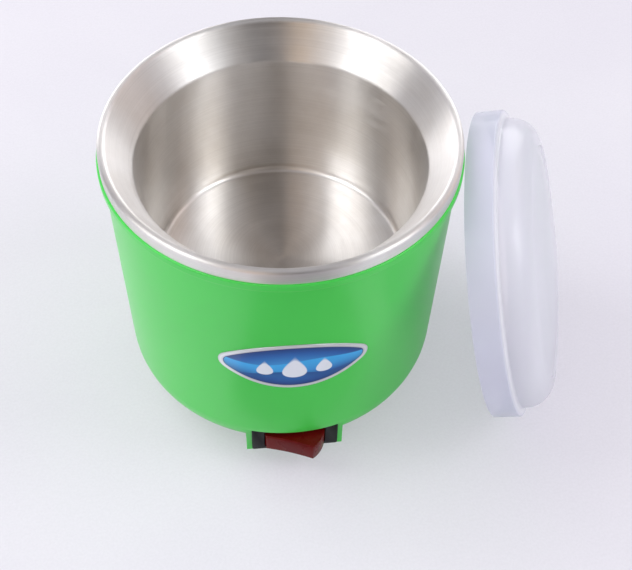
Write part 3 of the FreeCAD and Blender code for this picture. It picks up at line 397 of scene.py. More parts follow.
def bowl_steel():
    """Brushed steel, browner and darker in a band across its floor, with a flange dulled by hands."""
    mat, shader = new_finish(
        "bowl_steel", Metallic=1.0, Anisotropic=0.85, Anisotropic_Rotation=0.25, IOR=2.5
    )
    place = object_place(mat)
    parts = add(mat, "ShaderNodeSeparateXYZ", Vector=place).outputs
    fine = noise(mat, ring_coordinates(mat, 0.5, 3600.0), 1.0, 2.0, Roughness=0.5)
    wide = noise(mat, ring_coordinates(mat, 0.4, 520.0), 1.0, 1.0)
    cloud = noise(mat, place, 34.0, 6.0, Roughness=0.6)
    specks = noise(mat, place, 420.0, 3.0, Roughness=0.8)
    # colour: nearly neutral, with a trace of change from ring to ring
    tones = [(0.30, (0.77, 0.748, 0.72)), (0.55, (0.85, 0.837, 0.822)), (0.75, (0.885, 0.877, 0.869))]
    stripe = ramp(mat, fine, [(0.25, 0.86), (0.75, 1.0)])
    tint = mixed(mat, 0.7, ramp(mat, cloud, tones), stripe, "MULTIPLY")
    # the floor is browner and darker than the rest in a band across its middle, from front to back
    above = fade(mat, parts["Z"], (FLOOR_Z + 0.4) * MM, (FLOOR_Z + 3.9) * MM)
    aside = maths(mat, "ABSOLUTE", maths(mat, "ADD", parts["X"], -FLOOR_BAND_LINE * MM))
    off_band = maths(mat, "MAXIMUM", above, fade(mat, aside, FLOOR_BAND_NEAR * MM, FLOOR_BAND_FAR * MM))
    # a browner, darker colour on the floor in the band from front to back
    tone_patches = ramp(mat, off_band, [(0.0, (0.70, 0.655, 0.60)), (1.0, 1.0)])
    # gloss: duller in the brushed rings, with small dull specks. The flange is handled most, so it
    # is duller than the well. The least roughness is over 0.275, because the denoiser takes
    # anything smoother for a mirror and draws a hard line round it
    dull = ramp(mat, wide, [(0.30, 0.285), (0.72, 0.36)])
    worked = maths(mat, "ADD", dull, ramp(mat, specks, [(0.62, 0.0), (0.80, 0.16)]))
    flange = fade(mat, parts["Z"], (THROAT_Z - 1.0) * MM, (THROAT_Z + 3.0) * MM)
    feed(
        mat, shader,
        Base_Color=mixed(mat, 1.0, tint, tone_patches, "MULTIPLY"),
        Roughness=maths(mat, "MULTIPLY_ADD", flange, 0.10, worked),
        Normal=bump(mat, fine, 0.06, 0.03 * MM),
        Tangent=add(mat, "ShaderNodeTangent", direction_type="RADIAL", axis="Z").outputs["Tangent"],
    )
    return mat


STEEL = bowl_steel()
print("steel finish:", len(STEEL.node_tree.nodes), "nodes")

# %% [markdown]
# ## The wax bowl
# A narrow flat rim hangs over the shell as a short skirt. Inside it, a cone leads down to the
# throat, and a tapered wall from there to the flat floor. The outline goes round both sides of the
# 1 mm sheet, so the bowl is a closed solid like the real one, and the lathe gives it 256 segments to
# keep the rim round.

# %% Turn the bowl
FINE = 256  # segments round the pieces that show a long edge
bowl_corners = [
    (RIM, SKIRT_FOOT),
    (RIM, RIM_TOP, 1.3),
    (RIM_IN, RIM_TOP, 2.0),
    (THROAT, THROAT_Z, 3.0),
    (FLOOR, FLOOR_Z, 2.5),
    (0, FLOOR_Z),
    (0, FLOOR_Z - SHEET),
    (FLOOR + SHEET, FLOOR_Z - SHEET, 3.5),
    (THROAT + SHEET, THROAT_Z - SHEET / 3, 4.0),
    (RIM_IN + SHEET / 2, RIM_TOP - SHEET, 1.0),
    (RIM - SHEET, RIM_TOP - SHEET, 0.3),
    (RIM - SHEET, SKIRT_FOOT),
]
bowl = turned("bowl", bowl_corners, STEEL, segments=FINE)
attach(bowl, "pot")
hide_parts("wax_bowl")

# %% [markdown]
# ## Green moulded plastic
# The shell is injection moulded in a bright green, with a soft gloss. Its surface is almost even:
# there is a faint ripple where the plastic shrank, and a very fine texture. A little subsurface
# scattering lets light bleed inside the wall, which keeps the shadow side from going dead.

# %% Plastic finish


def shell_green():
    """Bright moulded plastic with a soft coat."""
    mat, shader = new_finish(
        "shell_green",
        IOR=1.5,
        Subsurface_Weight=0.12,
        Subsurface_Radius=(0.4, 1.0, 0.3),
        Subsurface_Scale=0.002,
        Coat_Weight=0.25,
        Coat_Roughness=0.20,
        Sheen_Weight=0.13,
        Sheen_Roughness=0.45,
    )
    place = object_place(mat)
    drift = noise(mat, place, 16.0, 3.0)
    grain = bump(mat, noise(mat, place, 2200.0, 2.0), 0.10, 0.04 * MM)
    feed(
        mat, shader,
        Base_Color=ramp(mat, drift, [(0.3, (0.034, 0.590, 0.052)), (0.7, (0.042, 0.640, 0.063))]),
        Roughness=ramp(mat, drift, [(0.3, 0.34), (0.7, 0.42)]),
        Normal=bump(mat, noise(mat, place, 45.0, 1.5), 0.10, 0.6 * MM, Normal=grain),
    )
    return mat


GREEN = shell_green()
print("green finish:", len(GREEN.node_tree.nodes), "nodes")

# %% [markdown]
# ## The shell
# The wall tapers from a thick lip under the bowl's skirt down to a wide rounded foot. Low on the
# front, a small flat face holds the switch under a hood. The wall comes off the lathe, and then
# plain blocks join it or cut it, as the mould's slides do: a hood to add, a recess, a hollow and a
# window to take away, and a hole at the back for the cord's grommet.

# %% Boolean helpers


def block(name, low, high):
    """A box between two corners in mm."""
    work = bmesh.new()
    bmesh.ops.create_cube(work, size=1.0)
    low, high = Vector(low) * MM, Vector(high) * MM
    fit = Matrix.Translation((low + high) / 2) @ Matrix.Diagonal((*(high - low), 1.0))
    bmesh.ops.transform(work, matrix=fit, verts=work.verts)
    return from_work(name, work)


def join_or_cut(piece, steps, name):
    """Apply boolean steps (operation, tool) in turn; the tools are used up."""
    for operation, tool in steps:
        modifier = piece.modifiers.new(operation, "BOOLEAN")
        modifier.operation = operation
        modifier.solver = "EXACT"
        modifier.object = tool
    settle(piece, name)
    for _, tool in steps:
        bpy.data.objects.remove(tool)
    return piece


# %% Turn the shell, add its hood and cut its openings
FOOT_Z, WALL, OPENING = 7.7, 2.2, 44.0
WALL_FOOT, WALL_TOP, LIP = 65.7, 68.9, 70.8
LIP_TOP = SKIRT_FOOT
LIP_FOOT = LIP_TOP - 5.4
SPIGOT_OUT, SPIGOT_IN, SPIGOT_TOP = 68.8, 66.8, LIP_TOP + 2.8
PANEL, RECESS_TOP = 62.1, 24.2
HOOD, HOOD_BACK, HOOD_SIDE, HOOD_TOP = 65.4, 44.1, 20.4, 26.4
HOLLOW_SIDE, HOLLOW_BACK = 18.2, 22.0
SWITCH_Z, WINDOW_SIDE, WINDOW_HALF = 16.5, 15.9, 6.3
GLAND_Z, GLAND_HOLE = 36.0, 5.1
BACKWARD = Matrix.Translation((0, 0, GLAND_Z * MM)) @ Matrix.Rotation(math.radians(-90), 4, "X")
shell_corners = [
    (OPENING, FOOT_Z),
    (WALL_FOOT, FOOT_Z, 19.7),
    (WALL_TOP, LIP_FOOT, 0.8),
    (LIP, LIP_TOP - 3.2, 0.8),
    (LIP, LIP_TOP, 0.8),
    (SPIGOT_OUT, LIP_TOP),
    (SPIGOT_OUT, SPIGOT_TOP),
    (SPIGOT_IN, SPIGOT_TOP),
    (WALL_FOOT - WALL, FOOT_Z + WALL, 17.5),
    (OPENING, FOOT_Z + WALL),
]
shell = turned("shell", shell_corners, GREEN, segments=FINE)
drum_corners = [(0, FOOT_Z), (HOOD, FOOT_Z), (HOOD, HOOD_TOP), (0, HOOD_TOP)]
drum = turned("drum", drum_corners, GREEN, segments=FINE)
front_part = block("front_part", (-HOOD_SIDE, -70, 0), (HOOD_SIDE, -HOOD_BACK, 40))
hood = join_or_cut(drum, [("INTERSECT", front_part)], "hood")
recess = block("recess", (-30, -80, 0), (30, -PANEL, RECESS_TOP))
hollow = block(
    "hollow", (-HOLLOW_SIDE, -PANEL + WALL, FOOT_Z + WALL), (HOLLOW_SIDE, -HOLLOW_BACK, RECESS_TOP)
)
window = block(
    "window",
    (-WINDOW_SIDE, -PANEL - 1, SWITCH_Z - WINDOW_HALF),
    (WINDOW_SIDE, -PANEL + WALL + 1, SWITCH_Z + WINDOW_HALF),
)
hole_corners = [(0, 57), (GLAND_HOLE, 57), (GLAND_HOLE, 75), (0, 75)]
gland_hole = turned("gland_hole", hole_corners, GREEN, segments=64)
gland_hole.data.transform(BACKWARD)
cuts = [("DIFFERENCE", tool) for tool in (recess, hollow, window, gland_hole)]
join_or_cut(shell, [("UNION", hood)] + cuts, "shell")
shell.data.set_sharp_from_angle(angle=math.radians(30))
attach(shell, "pot")
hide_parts("outer_shell")

# %% [markdown]
# ## The lid
# The lid is blown from thin milky plastic: a straight collar, a small step, a big round shoulder
# and a crown with a shallow sunk ring. It is turned in its own frame, where each point notes its
# height as an attribute, so the finish can tell the collar from the dome. Then its place in the
# room is written into its mesh: it stands on its edge and leans on the pot's lip.

# %% Translucent finish


def lid_milk():
    """Milky plastic: a collar painted darker and bluer as painted shade, and less clear than the dome;
    a pale band of painted highlight at the step.
    """
    mat, shader = new_finish("lid_milk", IOR=1.45, Coat_Weight=0.35, Coat_Roughness=0.12)
    place = object_place(mat)
    rise = add(mat, "ShaderNodeAttribute", attribute_name="rise_mm").outputs["Fac"]
    upward = fade(mat, rise, 0.0, 32.0)
    # painted shade: the collar's colour is darker and bluer than the dome's. Painted highlight: the
    # pale colour and lower clearness of the thin band at the step
    collar, step, dome = (0.75, 0.755, 0.90), (0.95, 0.95, 0.99), (0.875, 0.86, 0.945)
    clear = [(0.0, 0.56), (0.335, 0.60), (0.355, 0.74), (0.39, 0.58), (0.85, 0.52)]
    feed(
        mat, shader,
        Base_Color=ramp(mat, upward, [(0.0, collar), (0.335, collar), (0.355, step), (0.39, dome)]),
        Roughness=ramp(mat, noise(mat, place, 14.0, 2.0), [(0.3, 0.285), (0.7, 0.34)]),
        Alpha=ramp(mat, upward, clear),
        Normal=bump(mat, noise(mat, place, 900.0, 3.0), 0.04, 0.04 * MM),
    )
    return mat


MILK = lid_milk()
print("lid finish:", len(MILK.node_tree.nodes), "nodes")

# %% Turn the lid and lean it
COLLAR, COLLAR_TOP, DOME, CROWN_RING, LID_WALL = 64.6, 10.9, 61.0, 49.0, 1.6
DOME_FOOT, SHOULDER, RIDGE, SINK, CROWN = COLLAR_TOP + 0.8, 23.1, 1.4, 0.8, 28.1
PANEL_EDGE, PANEL_EDGE_Z = CROWN_RING - SINK, SHOULDER + RIDGE - SINK
OUTER_BOW, INNER_BOW = (33, 26.1), (14, 27.8)
LID_TURN, LID_PITCH = math.radians(-13.9), math.radians(74.6)
LID_PLACE = Vector((87.3904, -14.1067, 62.2806)) * MM
lid_corners = [
    (COLLAR, 0),
    (COLLAR, COLLAR_TOP, 0.7),
    (DOME, DOME_FOOT, 0.7),
    (DOME, SHOULDER, 11.4),
    (CROWN_RING, SHOULDER + RIDGE),
    (PANEL_EDGE, PANEL_EDGE_Z),
    (*OUTER_BOW, 60),
    (*INNER_BOW, 60),
    (0, CROWN),
    (0, CROWN - LID_WALL),
    (INNER_BOW[0], INNER_BOW[1] - LID_WALL, 60),
    (OUTER_BOW[0], OUTER_BOW[1] - LID_WALL, 60),
    (PANEL_EDGE, PANEL_EDGE_Z - LID_WALL),
    (DOME - LID_WALL, SHOULDER - LID_WALL, 9.8),
    (DOME - LID_WALL, DOME_FOOT - LID_WALL),
    (COLLAR - LID_WALL, COLLAR_TOP - LID_WALL),
    (COLLAR - LID_WALL, 0),
]
lid = turned("lid_shell", lid_corners, MILK, segments=224, crisp=40.0)
rise = lid.data.attributes.new("rise_mm", "FLOAT", "POINT")
rise.data.foreach_set("value", [v.co.z / MM for v in lid.data.vertices])
turn, pitch = Matrix.Rotation(LID_TURN, 4, "Z"), Matrix.Rotation(LID_PITCH, 4, "Y")
lean = Matrix.Translation(LID_PLACE) @ turn @ pitch
lid.data.transform(lean)
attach(lid, "lid")
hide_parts("lid")
print("lid stands on z = %.2f mm" % (min(v.co.z for v in lid.data.vertices) / MM))

# %% [markdown]
# ## A printed foil label
# The label is a pointed oval with rounded ends, bent round the front wall. It is a thin plate with a
# softened edge, made on a polar grid: rings of the oval's own outline, shrunk towards its centre.
# Each point keeps its distance from the edge as an attribute, so the border can follow the outline.

# %% The oval's outline and its distance from the edge
LABEL_X, LABEL_Z, HALF_W, HALF_H, END = -0.9, 74.4, 31.6, 14.4, 6.0
BOW = (HALF_W**2 + HALF_H**2) / (2 * HALF_H)
DEEP = BOW - HALF_H
END_X = math.sqrt((BOW - END) ** 2 - DEEP**2)


def wall_at(height):
    """Radius in mm of the tapered wall at a height."""
    return WALL_FOOT + (height - FOOT_Z) * (WALL_TOP - WALL_FOOT) / (LIP_FOOT - FOOT_Z)


def oval(step=1.0):
    """Points round the oval: two bows and two round ends."""
    meet = math.atan2(DEEP, END_X)
    arcs = [
        ((0, -DEEP), BOW, meet, math.pi - meet),
        ((-END_X, 0), END, math.pi - meet, math.pi + meet),
        ((0, DEEP), BOW, math.pi + meet, math.tau - meet),
        ((END_X, 0), END, -meet, meet),
    ]
    points = []
    for (x, y), radius, start, stop in arcs:
        count = math.ceil(radius * (stop - start) / step)
        for k in range(count):
            angle = start + (stop - start) * k / count
            points.append(Vector((x + radius * math.cos(angle), y + radius * math.sin(angle))))
    return points


def edge_distance(spot):
    """Distance in mm from a point of the label to its outline."""
    x, y = abs(spot.x), abs(spot.y)
    if (x - END_X) * DEEP > y * END_X:
        return END - math.hypot(x - END_X, y)
    return BOW - math.hypot(x, y + DEEP)


print("label is %.1f mm long" % (2 * (END_X + END)))

# %% Bend the label round the wall
LIFT, THICK = 0.03, 0.35  # the gap behind the label and its thickness
STEPS, SOFT_EDGE, INSET = 30, 0.12, 0.08  # rings of the grid, and the size of the softened edge


def ring_of_faces(low, high):
    """Quads between two closed rows of the same length."""
    count = len(low)
    return [(low[i], low[(i + 1) % count], high[(i + 1) % count], high[i]) for i in range(count)]


def label_mesh():
    """A thin plate on a polar grid, bent round the wall, that knows its distance from the edge."""
    rim = oval()
    count = len(rim)
    front = [[spot * (1 - (k / STEPS) ** 1.5) for spot in rim] for k in range(STEPS)]
    vertices, distances, flats = [], [], []

    def put(spot, raise_by):
        """Add a point at this height over the wall, and return its number."""
        x, z = LABEL_X + spot.x, LABEL_Z + spot.y
        radius = wall_at(z) + LIFT + raise_by
        vertices.append((x * MM, -math.sqrt(radius**2 - x**2) * MM, z * MM))
        distances.append(max(0.0, edge_distance(spot)))
        flats.append((spot.x / 10, spot.y / 10))
        return len(vertices) - 1

    rows = [[put(spot, 0.0) for spot in rim], [put(spot, THICK - SOFT_EDGE) for spot in rim]]
    rows.append([put(spot * (1 - INSET / spot.length), THICK - 0.03) for spot in front[0]])
    rows += [[put(spot, THICK) for spot in row] for row in front[1:]]
    centre, back = put(Vector((0, 0)), THICK), put(Vector((0, 0)), 0.0)
    # the back follows the wall as well, in rings of its own
    behind = [rows[0]] + [[put(spot * s, 0.0) for spot in rim] for s in (0.75, 0.5, 0.25)]
    faces = []
    for low, high in zip(rows, rows[1:]):
        faces += ring_of_faces(low, high)
    faces += [(rows[-1][i], rows[-1][(i + 1) % count], centre) for i in range(count)]
    for high, low in zip(behind, behind[1:]):
        faces += ring_of_faces(low, high)
    faces += [(behind[-1][(i + 1) % count], behind[-1][i], back) for i in range(count)]
    mesh = bpy.data.meshes.new("label")
    mesh.from_pydata(vertices, [], faces)
    mesh.attributes.new("edge_mm", "FLOAT", "POINT").data.foreach_set("value", distances)
    layer = mesh.uv_layers.new(name="print")
    for loop in mesh.loops:
        layer.data[loop.index].uv = flats[loop.vertex_index]
    mesh.shade_smooth()
    return mesh


print("outline of the label:", len(oval()), "points")

# %% [markdown]
# The print is a plain decoration of its own: a silver border with a dark line inside it, a blue
# field that is lighter in the middle, two soft waves and three drops of wax. A sine of the place
# across the label gives the waves, and a short formula, x squared against (1 - y) cubed times
# (1 + y), gives a drop. Only the border is metal, as hot foil is.

# %% Label finish
DARK_LINE, DROP = (0.010, 0.040, 0.180, 1), (0.80, 0.84, 0.90, 1)
PALE_WAVE, DEEP_WAVE = (0.040, 0.430, 0.860, 1), (0.010, 0.085, 0.300, 1)


def drop_mask(mat, across, height, centre, middle, size):
    """White inside a drop of wax whose tip points up."""
    x = maths(mat, "DIVIDE", maths(mat, "SUBTRACT", across, centre), size)
    y = maths(mat, "DIVIDE", maths(mat, "SUBTRACT", height, middle), size)
    below_tip = maths(mat, "MAXIMUM", maths(mat, "SUBTRACT", 1.0, y), 0.0)
    body = maths(mat, "MULTIPLY", maths(mat, "POWER", below_tip, 3.0), maths(mat, "ADD", 1.0, y))
    inside = maths(mat, "SUBTRACT", maths(mat, "MULTIPLY", body, 0.24), maths(mat, "MULTIPLY", x, x))
    return fade(mat, inside, 0.0, 0.06)


def wave_mask(mat, across, height, level, swing, length, phase, soft):
    """White under a wavy line that fades out downwards."""
    sine = maths(mat, "SINE", maths(mat, "MULTIPLY_ADD", across, math.tau / length, phase))
    under = maths(mat, "SUBTRACT", maths(mat, "MULTIPLY_ADD", sine, swing, level), height)
    return ramp(mat, fade(mat, under, 0.0, soft), [(0.0, 0.0), (0.06, 1.0), (1.0, 0.0)])


def label_print():
    """Silver border, dark line, blue field, two waves and three drops."""
    mat, shader = new_finish("label_print", IOR=1.5, Coat_Weight=0.25, Coat_Roughness=0.06)
    spot = add(mat, "ShaderNodeUVMap", uv_map="print").outputs["UV"]
    parts = add(mat, "ShaderNodeSeparateXYZ", Vector=spot).outputs
    across, height = parts["X"], parts["Y"]
    edge = add(mat, "ShaderNodeAttribute", attribute_name="edge_mm").outputs["Fac"]
    inner = fade(mat, edge, 0.0, 12.0)
    deep, middle_blue, bright = (0.006, 0.036, 0.190), (0.010, 0.110, 0.400), (0.030, 0.260, 0.640)
    blues = [(0.15, deep), (0.45, middle_blue), (0.95, bright)]
    silvers = [(0.0, (0.60, 0.62, 0.65)), (0.07, (0.84, 0.85, 0.88)), (0.14, (0.66, 0.68, 0.72))]
    upper = wave_mask(mat, across, height, 0.28, 0.16, 4.6, 0.4, 0.9)
    lower = wave_mask(mat, across, height, -0.42, 0.12, 3.4, 2.2, 0.7)
    field = mixed(mat, upper, ramp(mat, inner, blues), PALE_WAVE)
    field = mixed(mat, lower, field, DEEP_WAVE)
    for centre, middle, size in [(0.0, 0.05, 0.78), (-1.15, -0.02, 0.52), (1.15, -0.02, 0.52)]:
        field = mixed(mat, drop_mask(mat, across, height, centre, middle, size), field, DROP)
    in_line = fade(mat, edge, 1.75, 1.9)
    border = mixed(mat, in_line, ramp(mat, inner, silvers), DARK_LINE)
    mottle = noise(mat, spot, 1.6, 2.0)
    feed(
        mat, shader,
        Base_Color=mixed(mat, fade(mat, edge, 2.05, 2.2), border, field),
        Metallic=maths(mat, "MULTIPLY_ADD", in_line, -0.4, 0.4),
        Roughness=ramp(mat, mottle, [(0.3, 0.28), (0.7, 0.35)]),
        Normal=bump(mat, mottle, 0.03, 0.1 * MM),
    )
    return mat


label = placed("label", label_mesh())
label.data.materials.append(label_print())
tidy(label.data)
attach(label, "pot")
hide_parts("label_plate")
print("label:", len(label.data.polygons), "faces")

# %% [markdown]
# ## The rocker switch
# The switch is a bought part: a black frame that snaps into the hood, and a dark red rocker that
# tips about its middle. Their solids already have the right forms, but every edge is razor sharp.
# A merged copy of each solid gets a small bevel, which catches a thin line of light as moulded
# edges do.

# %% Soften a copy of a solid


def softened(node, name, width, finish):
    """A merged copy of a CAD node with its sharp edges bevelled by a width in mm."""
    mesh = nodes[node].data.copy()
    work = bmesh.new()
    work.from_mesh(mesh)
    bmesh.ops.remove_doubles(work, verts=work.verts, dist=2e-6)
    bmesh.ops.dissolve_limit(work, angle_limit=math.radians(1.0), verts=work.verts, edges=work.edges)
    work.to_mesh(mesh)
    work.free()
    mesh.materials.clear()
    mesh.materials.append(finish)
    piece = placed(name, mesh)
    bevel = piece.modifiers.new("soft edges", "BEVEL")
    bevel.width = width * MM
    bevel.segments = 2
    bevel.limit_method = "ANGLE"
    bevel.angle_limit = math.radians(40)
    settle(piece, name)
    piece.data.shade_smooth()
    piece.data.set_sharp_from_angle(angle=math.radians(35))
    return piece


def moulded(name, dark, light, rough, grain=1500.0, relief=0.12, **shader):
    """Moulded plastic or rubber: a slight drift of colour, a fine grain and uneven gloss."""
    mat, principled = new_finish(name, **shader)
    place = object_place(mat)
    drift = noise(mat, place, 60.0, 4.0)
    feed(
        mat, principled,
        Base_Color=ramp(mat, drift, [(0.3, dark), (0.7, light)]),
        Roughness=ramp(mat, drift, [(0.3, rough - 0.05), (0.7, rough + 0.07)]),
        Normal=bump(mat, noise(mat, place, grain, 3.0), relief, 0.05 * MM),
    )
    return mat


print("helpers for moulded pieces ready")

# %% Frame and rocker
BLACK = moulded(
    "switch_black", (0.007, 0.007, 0.009), (0.013, 0.013, 0.016), 0.42, Specular_IOR_Level=0.28
)
RED = moulded(
    "rocker_red", (0.100, 0.002, 0.002), (0.160, 0.004, 0.004), 0.28,
    relief=0.05, Coat_Weight=0.05, Coat_Roughness=0.08, Specular_IOR_Level=0.14, Subsurface_Weight=0.08,
    Subsurface_Radius=(1.0, 0.2, 0.1), Subsurface_Scale=0.001,
)
housing = softened("switch_housing", "switch_frame", 0.22, BLACK)
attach(housing, "pot")
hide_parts("switch_housing")
rocker = softened("switch_rocker", "rocker", 0.15, RED)
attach(rocker, "rocker")
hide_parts("switch_rocker")

# %% [markdown]
# ## Copies in a ring
# Four feet, four screws and eight vent slots all stand in a ring about the pot's axis. One small
# tree makes any such ring: a circle of points, one copy on each point, turned so that its X axis
# faces outwards. The copies are made real at the end, because the export keeps no instances.

# %% Build the ring tree


def ring_tree():
    """Copies of a piece on a circle of points."""
    tree = new_tree(
        "ring_of_copies",
        Piece="Geometry", Count="Int", Circle="Float", First_Angle="Float", Finish="Material",
    )
    new = tree.nodes.new
    given, result = new("NodeGroupInput"), new("NodeGroupOutput")
    circle, turn = new("GeometryNodeMeshCircle"), new("GeometryNodeTransform")
    place, face_out = new("GeometryNodeInputPosition"), new("FunctionNodeAlignRotationToVector")
    angle, copies = new("ShaderNodeCombineXYZ"), new("GeometryNodeInstanceOnPoints")
    real, paint = new("GeometryNodeRealizeInstances"), new("GeometryNodeSetMaterial")
    face_out.axis = "X"
    wire(
        tree,
        (given, "Count", circle, "Vertices"),
        (given, "Circle", circle, "Radius"),
        (given, "First Angle", angle, "Z"),
        (angle, 0, turn, "Rotation"),
        (circle, "Mesh", turn, "Geometry"),
        (turn, "Geometry", copies, "Points"),
        (given, "Piece", copies, "Instance"),
        (place, "Position", face_out, "Vector"),
        (face_out, "Rotation", copies, "Rotation"),
        (copies, "Instances", real, "Geometry"),
        (real, "Geometry", paint, "Geometry"),
        (given, "Finish", paint, "Material"),
        (paint, "Geometry", result, "Mesh"),
    )
    return tree


RING = ring_tree()
print("ring tree has", len(RING.nodes), "nodes")


def ringed(piece, name, count, circle, first, finish):
    """Turn one piece into a ring of copies; circle in mm, first in degrees."""
    modifier = piece.modifiers.new("ring", "NODES")
    modifier.node_group = RING
    set_input(modifier, "Count", count)
    set_input(modifier, "Circle", circle * MM)
    set_input(modifier, "First Angle", math.radians(first))
    set_input(modifier, "Finish", finish)
    return settle(piece, name)


# %% [markdown]
# ## Feet, their screws and the middle cap
# Each foot is a soft rubber stub with a sunk hole, and a slotted screw holds it and the base cover
# to a post of the shell. A rubber cap over the nut of the tie rod stands in the middle.

# %% Feet, screws and cap
POSTS, POST_ANGLE = 36.0, 45
FOOT_HOLE, CAP_HOLE = 1.9, 5.8735
RUBBER = moulded(
    "black_rubber", (0.020, 0.020, 0.021), (0.040, 0.040, 0.041), 0.62, grain=900.0, relief=0.25
)
foot_corners = [
    (FOOT_HOLE, 4.2), (4.0, 4.2), (4.0, 0, 0.3), (6.0, 0, 0.8), (6.8, FOOT_Z), (FOOT_HOLE, FOOT_Z),
]
foot = turned("foot", foot_corners, RUBBER, segments=72)
feet = ringed(foot, "rubber_feet", 4, POSTS, POST_ANGLE, RUBBER)
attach(feet, "pot")
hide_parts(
    *["rubber_foot_" + corner for corner in ("back_right", "back_left", "front_left", "front_right")],
)


def worked_metal(name, dark, light, rough, scale=160.0):
    """Plain worked metal: stains, fine scratches and uneven gloss."""
    mat, principled = new_finish(name, Metallic=1.0)
    place = object_place(mat)
    tone_patches = noise(mat, place, scale, 5.0, Roughness=0.65)
    feed(
        mat, principled,
        Base_Color=ramp(mat, tone_patches, [(0.3, dark), (0.7, light)]),
        Roughness=ramp(mat, tone_patches, [(0.3, rough - 0.06), (0.7, rough + 0.1)]),
        Normal=bump(mat, noise(mat, place, scale * 14, 3.0), 0.15, 0.04 * MM),
    )
    return mat


ZINC = worked_metal("zinc_plate", (0.56, 0.57, 0.58), (0.72, 0.73, 0.74), 0.34)
screw_corners = [(0, 2.2), (3.2, 2.2, 0.9), (3.2, 4.2), (1.4, 4.2), (1.4, 24.0), (0, 24.0)]
screw = turned("screw", screw_corners, ZINC, segments=40)
join_or_cut(screw, [("DIFFERENCE", block("slot", (-0.4, -3.4, 2.0), (0.4, 3.4, 3.2)))], "screw")
screws = ringed(screw, "foot_screws_set", 4, POSTS, POST_ANGLE, ZINC)
screws.data.set_sharp_from_angle(angle=math.radians(30))
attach(screws, "pot")
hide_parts("foot_screws")

cap_corners = [
    (0, 0), (8.5, 0, 0.8), (8.5, FOOT_Z), (6.6, FOOT_Z),
    (6.6, 6.5), (CAP_HOLE, 6.5), (CAP_HOLE, 1.0), (0, 1.0),
]
cap = turned("middle_cap", cap_corners, RUBBER, segments=96)
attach(cap, "pot")
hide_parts("nut_cap")

# %% [markdown]
# ## The base cover
# A flat plate closes the foot. Eight slots in a ring let air in round the tie rod. One slot is a
# short bar with round ends, the ring tree copies it, and one boolean cuts all eight.

# %% Turn the cover and cut its holes
COVER = moulded("cover_black", (0.030,) * 3, (0.050,) * 3, 0.55, grain=700.0, relief=0.3)
COVER_EDGE, ROD_HOLE, COVER_TOP = OPENING - 0.4, 3.3, FOOT_Z + WALL
SLOT_LENGTH, SLOT_WIDTH, SLOT_CIRCLE = 12.0, 2.4, 21.0
cover_corners = [
    (ROD_HOLE, FOOT_Z), (COVER_EDGE, FOOT_Z, 0.4), (COVER_EDGE, COVER_TOP), (ROD_HOLE, COVER_TOP),
]
cover = turned("cover", cover_corners, COVER)


def slot_bar(length, width, low, high):
    """A bar with round ends, standing at the origin and lying along X, in mm."""
    half, radius = length / 2 - width / 2, width / 2
    work = bmesh.new()
    angles = [math.radians(a) for a in range(-90, 91, 15)]
    outline_points = [(half + radius * math.cos(a), radius * math.sin(a)) for a in angles]
    outline_points += [(-half - radius * math.cos(a), -radius * math.sin(a)) for a in angles]
    base = work.faces.new([work.verts.new((x * MM, y * MM, low * MM)) for x, y in outline_points])
    grown = bmesh.ops.extrude_face_region(work, geom=[base])
    lifted = [item for item in grown["geom"] if isinstance(item, bmesh.types.BMVert)]
    bmesh.ops.translate(work, vec=(0, 0, (high - low) * MM), verts=lifted)
    bmesh.ops.recalc_face_normals(work, faces=work.faces)
    return from_work("slot", work)


BELOW, ABOVE = 6, 12  # mm, under and over the plate
slots = ringed(slot_bar(SLOT_LENGTH, SLOT_WIDTH, BELOW, ABOVE), "slots", 8, SLOT_CIRCLE, 0, COVER)
hole_corners = [(0, BELOW), (FOOT_HOLE, BELOW), (FOOT_HOLE, ABOVE), (0, ABOVE)]
hole = turned("hole", hole_corners, COVER, segments=32)
holes = ringed(hole, "holes", 4, POSTS, POST_ANGLE, COVER)
join_or_cut(cover, [("DIFFERENCE", slots), ("DIFFERENCE", holes)], "vented_cover")
cover.data.set_sharp_from_angle(angle=math.radians(30))
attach(cover, "pot")
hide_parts("base_cover")

# %% [markdown]
# ## The cord's grommet
# A rubber grommet lines the hole in the back wall, with a groove that grips the wall's thickness.
# It is turned upright like the other round pieces and then laid along the Y axis.

# %% Turn the grommet and lay it in the wall
BORE, GROOVE, COLLAR_OUT = 3.3, 5.0, 7.6
IN_END, IN_FACE, OUT_FACE, OUT_END = 61.127, 63.527, 66.805, 69.205
grommet_corners = [
    (BORE, IN_END), (COLLAR_OUT, IN_END, 0.8), (COLLAR_OUT, IN_FACE), (GROOVE, IN_FACE),
    (GROOVE, OUT_FACE), (COLLAR_OUT, OUT_FACE), (COLLAR_OUT, OUT_END, 0.8), (BORE, OUT_END, 0.8),
]
grommet = turned("grommet", grommet_corners, RUBBER, segments=96)
grommet.data.transform(BACKWARD)
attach(grommet, "pot")
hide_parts("cord_gland")

# %% [markdown]
# ## Finishes for what is inside
# The heater, the thermostat, the terminals and the leads keep their solids. Each still gets a
# finish of its own kind: flaky mica, matted glass fibre, pressed brown resin, drawn brass and so on.

# %% Inner finishes


def flaky(name, dark, light, rough, scale, relief):
    """Cells of slightly different shade, for mica sheet and matted fibre."""
    mat, principled = new_finish(name)
    place = object_place(mat)
    cells = add(mat, "ShaderNodeTexVoronoi", Vector=place, Scale=scale).outputs["Distance"]
    threads = noise(mat, place, scale * 2, 6.0, Distortion=1.5)
    shade = maths(mat, "MULTIPLY", cells, threads)
    feed(
        mat, principled,
        Base_Color=ramp(mat, shade, [(0.05, dark), (0.45, light)]),
        Roughness=ramp(mat, threads, [(0.3, rough - 0.08), (0.7, rough + 0.08)]),
        Normal=bump(mat, shade, relief, 0.1 * MM),
    )
    return mat


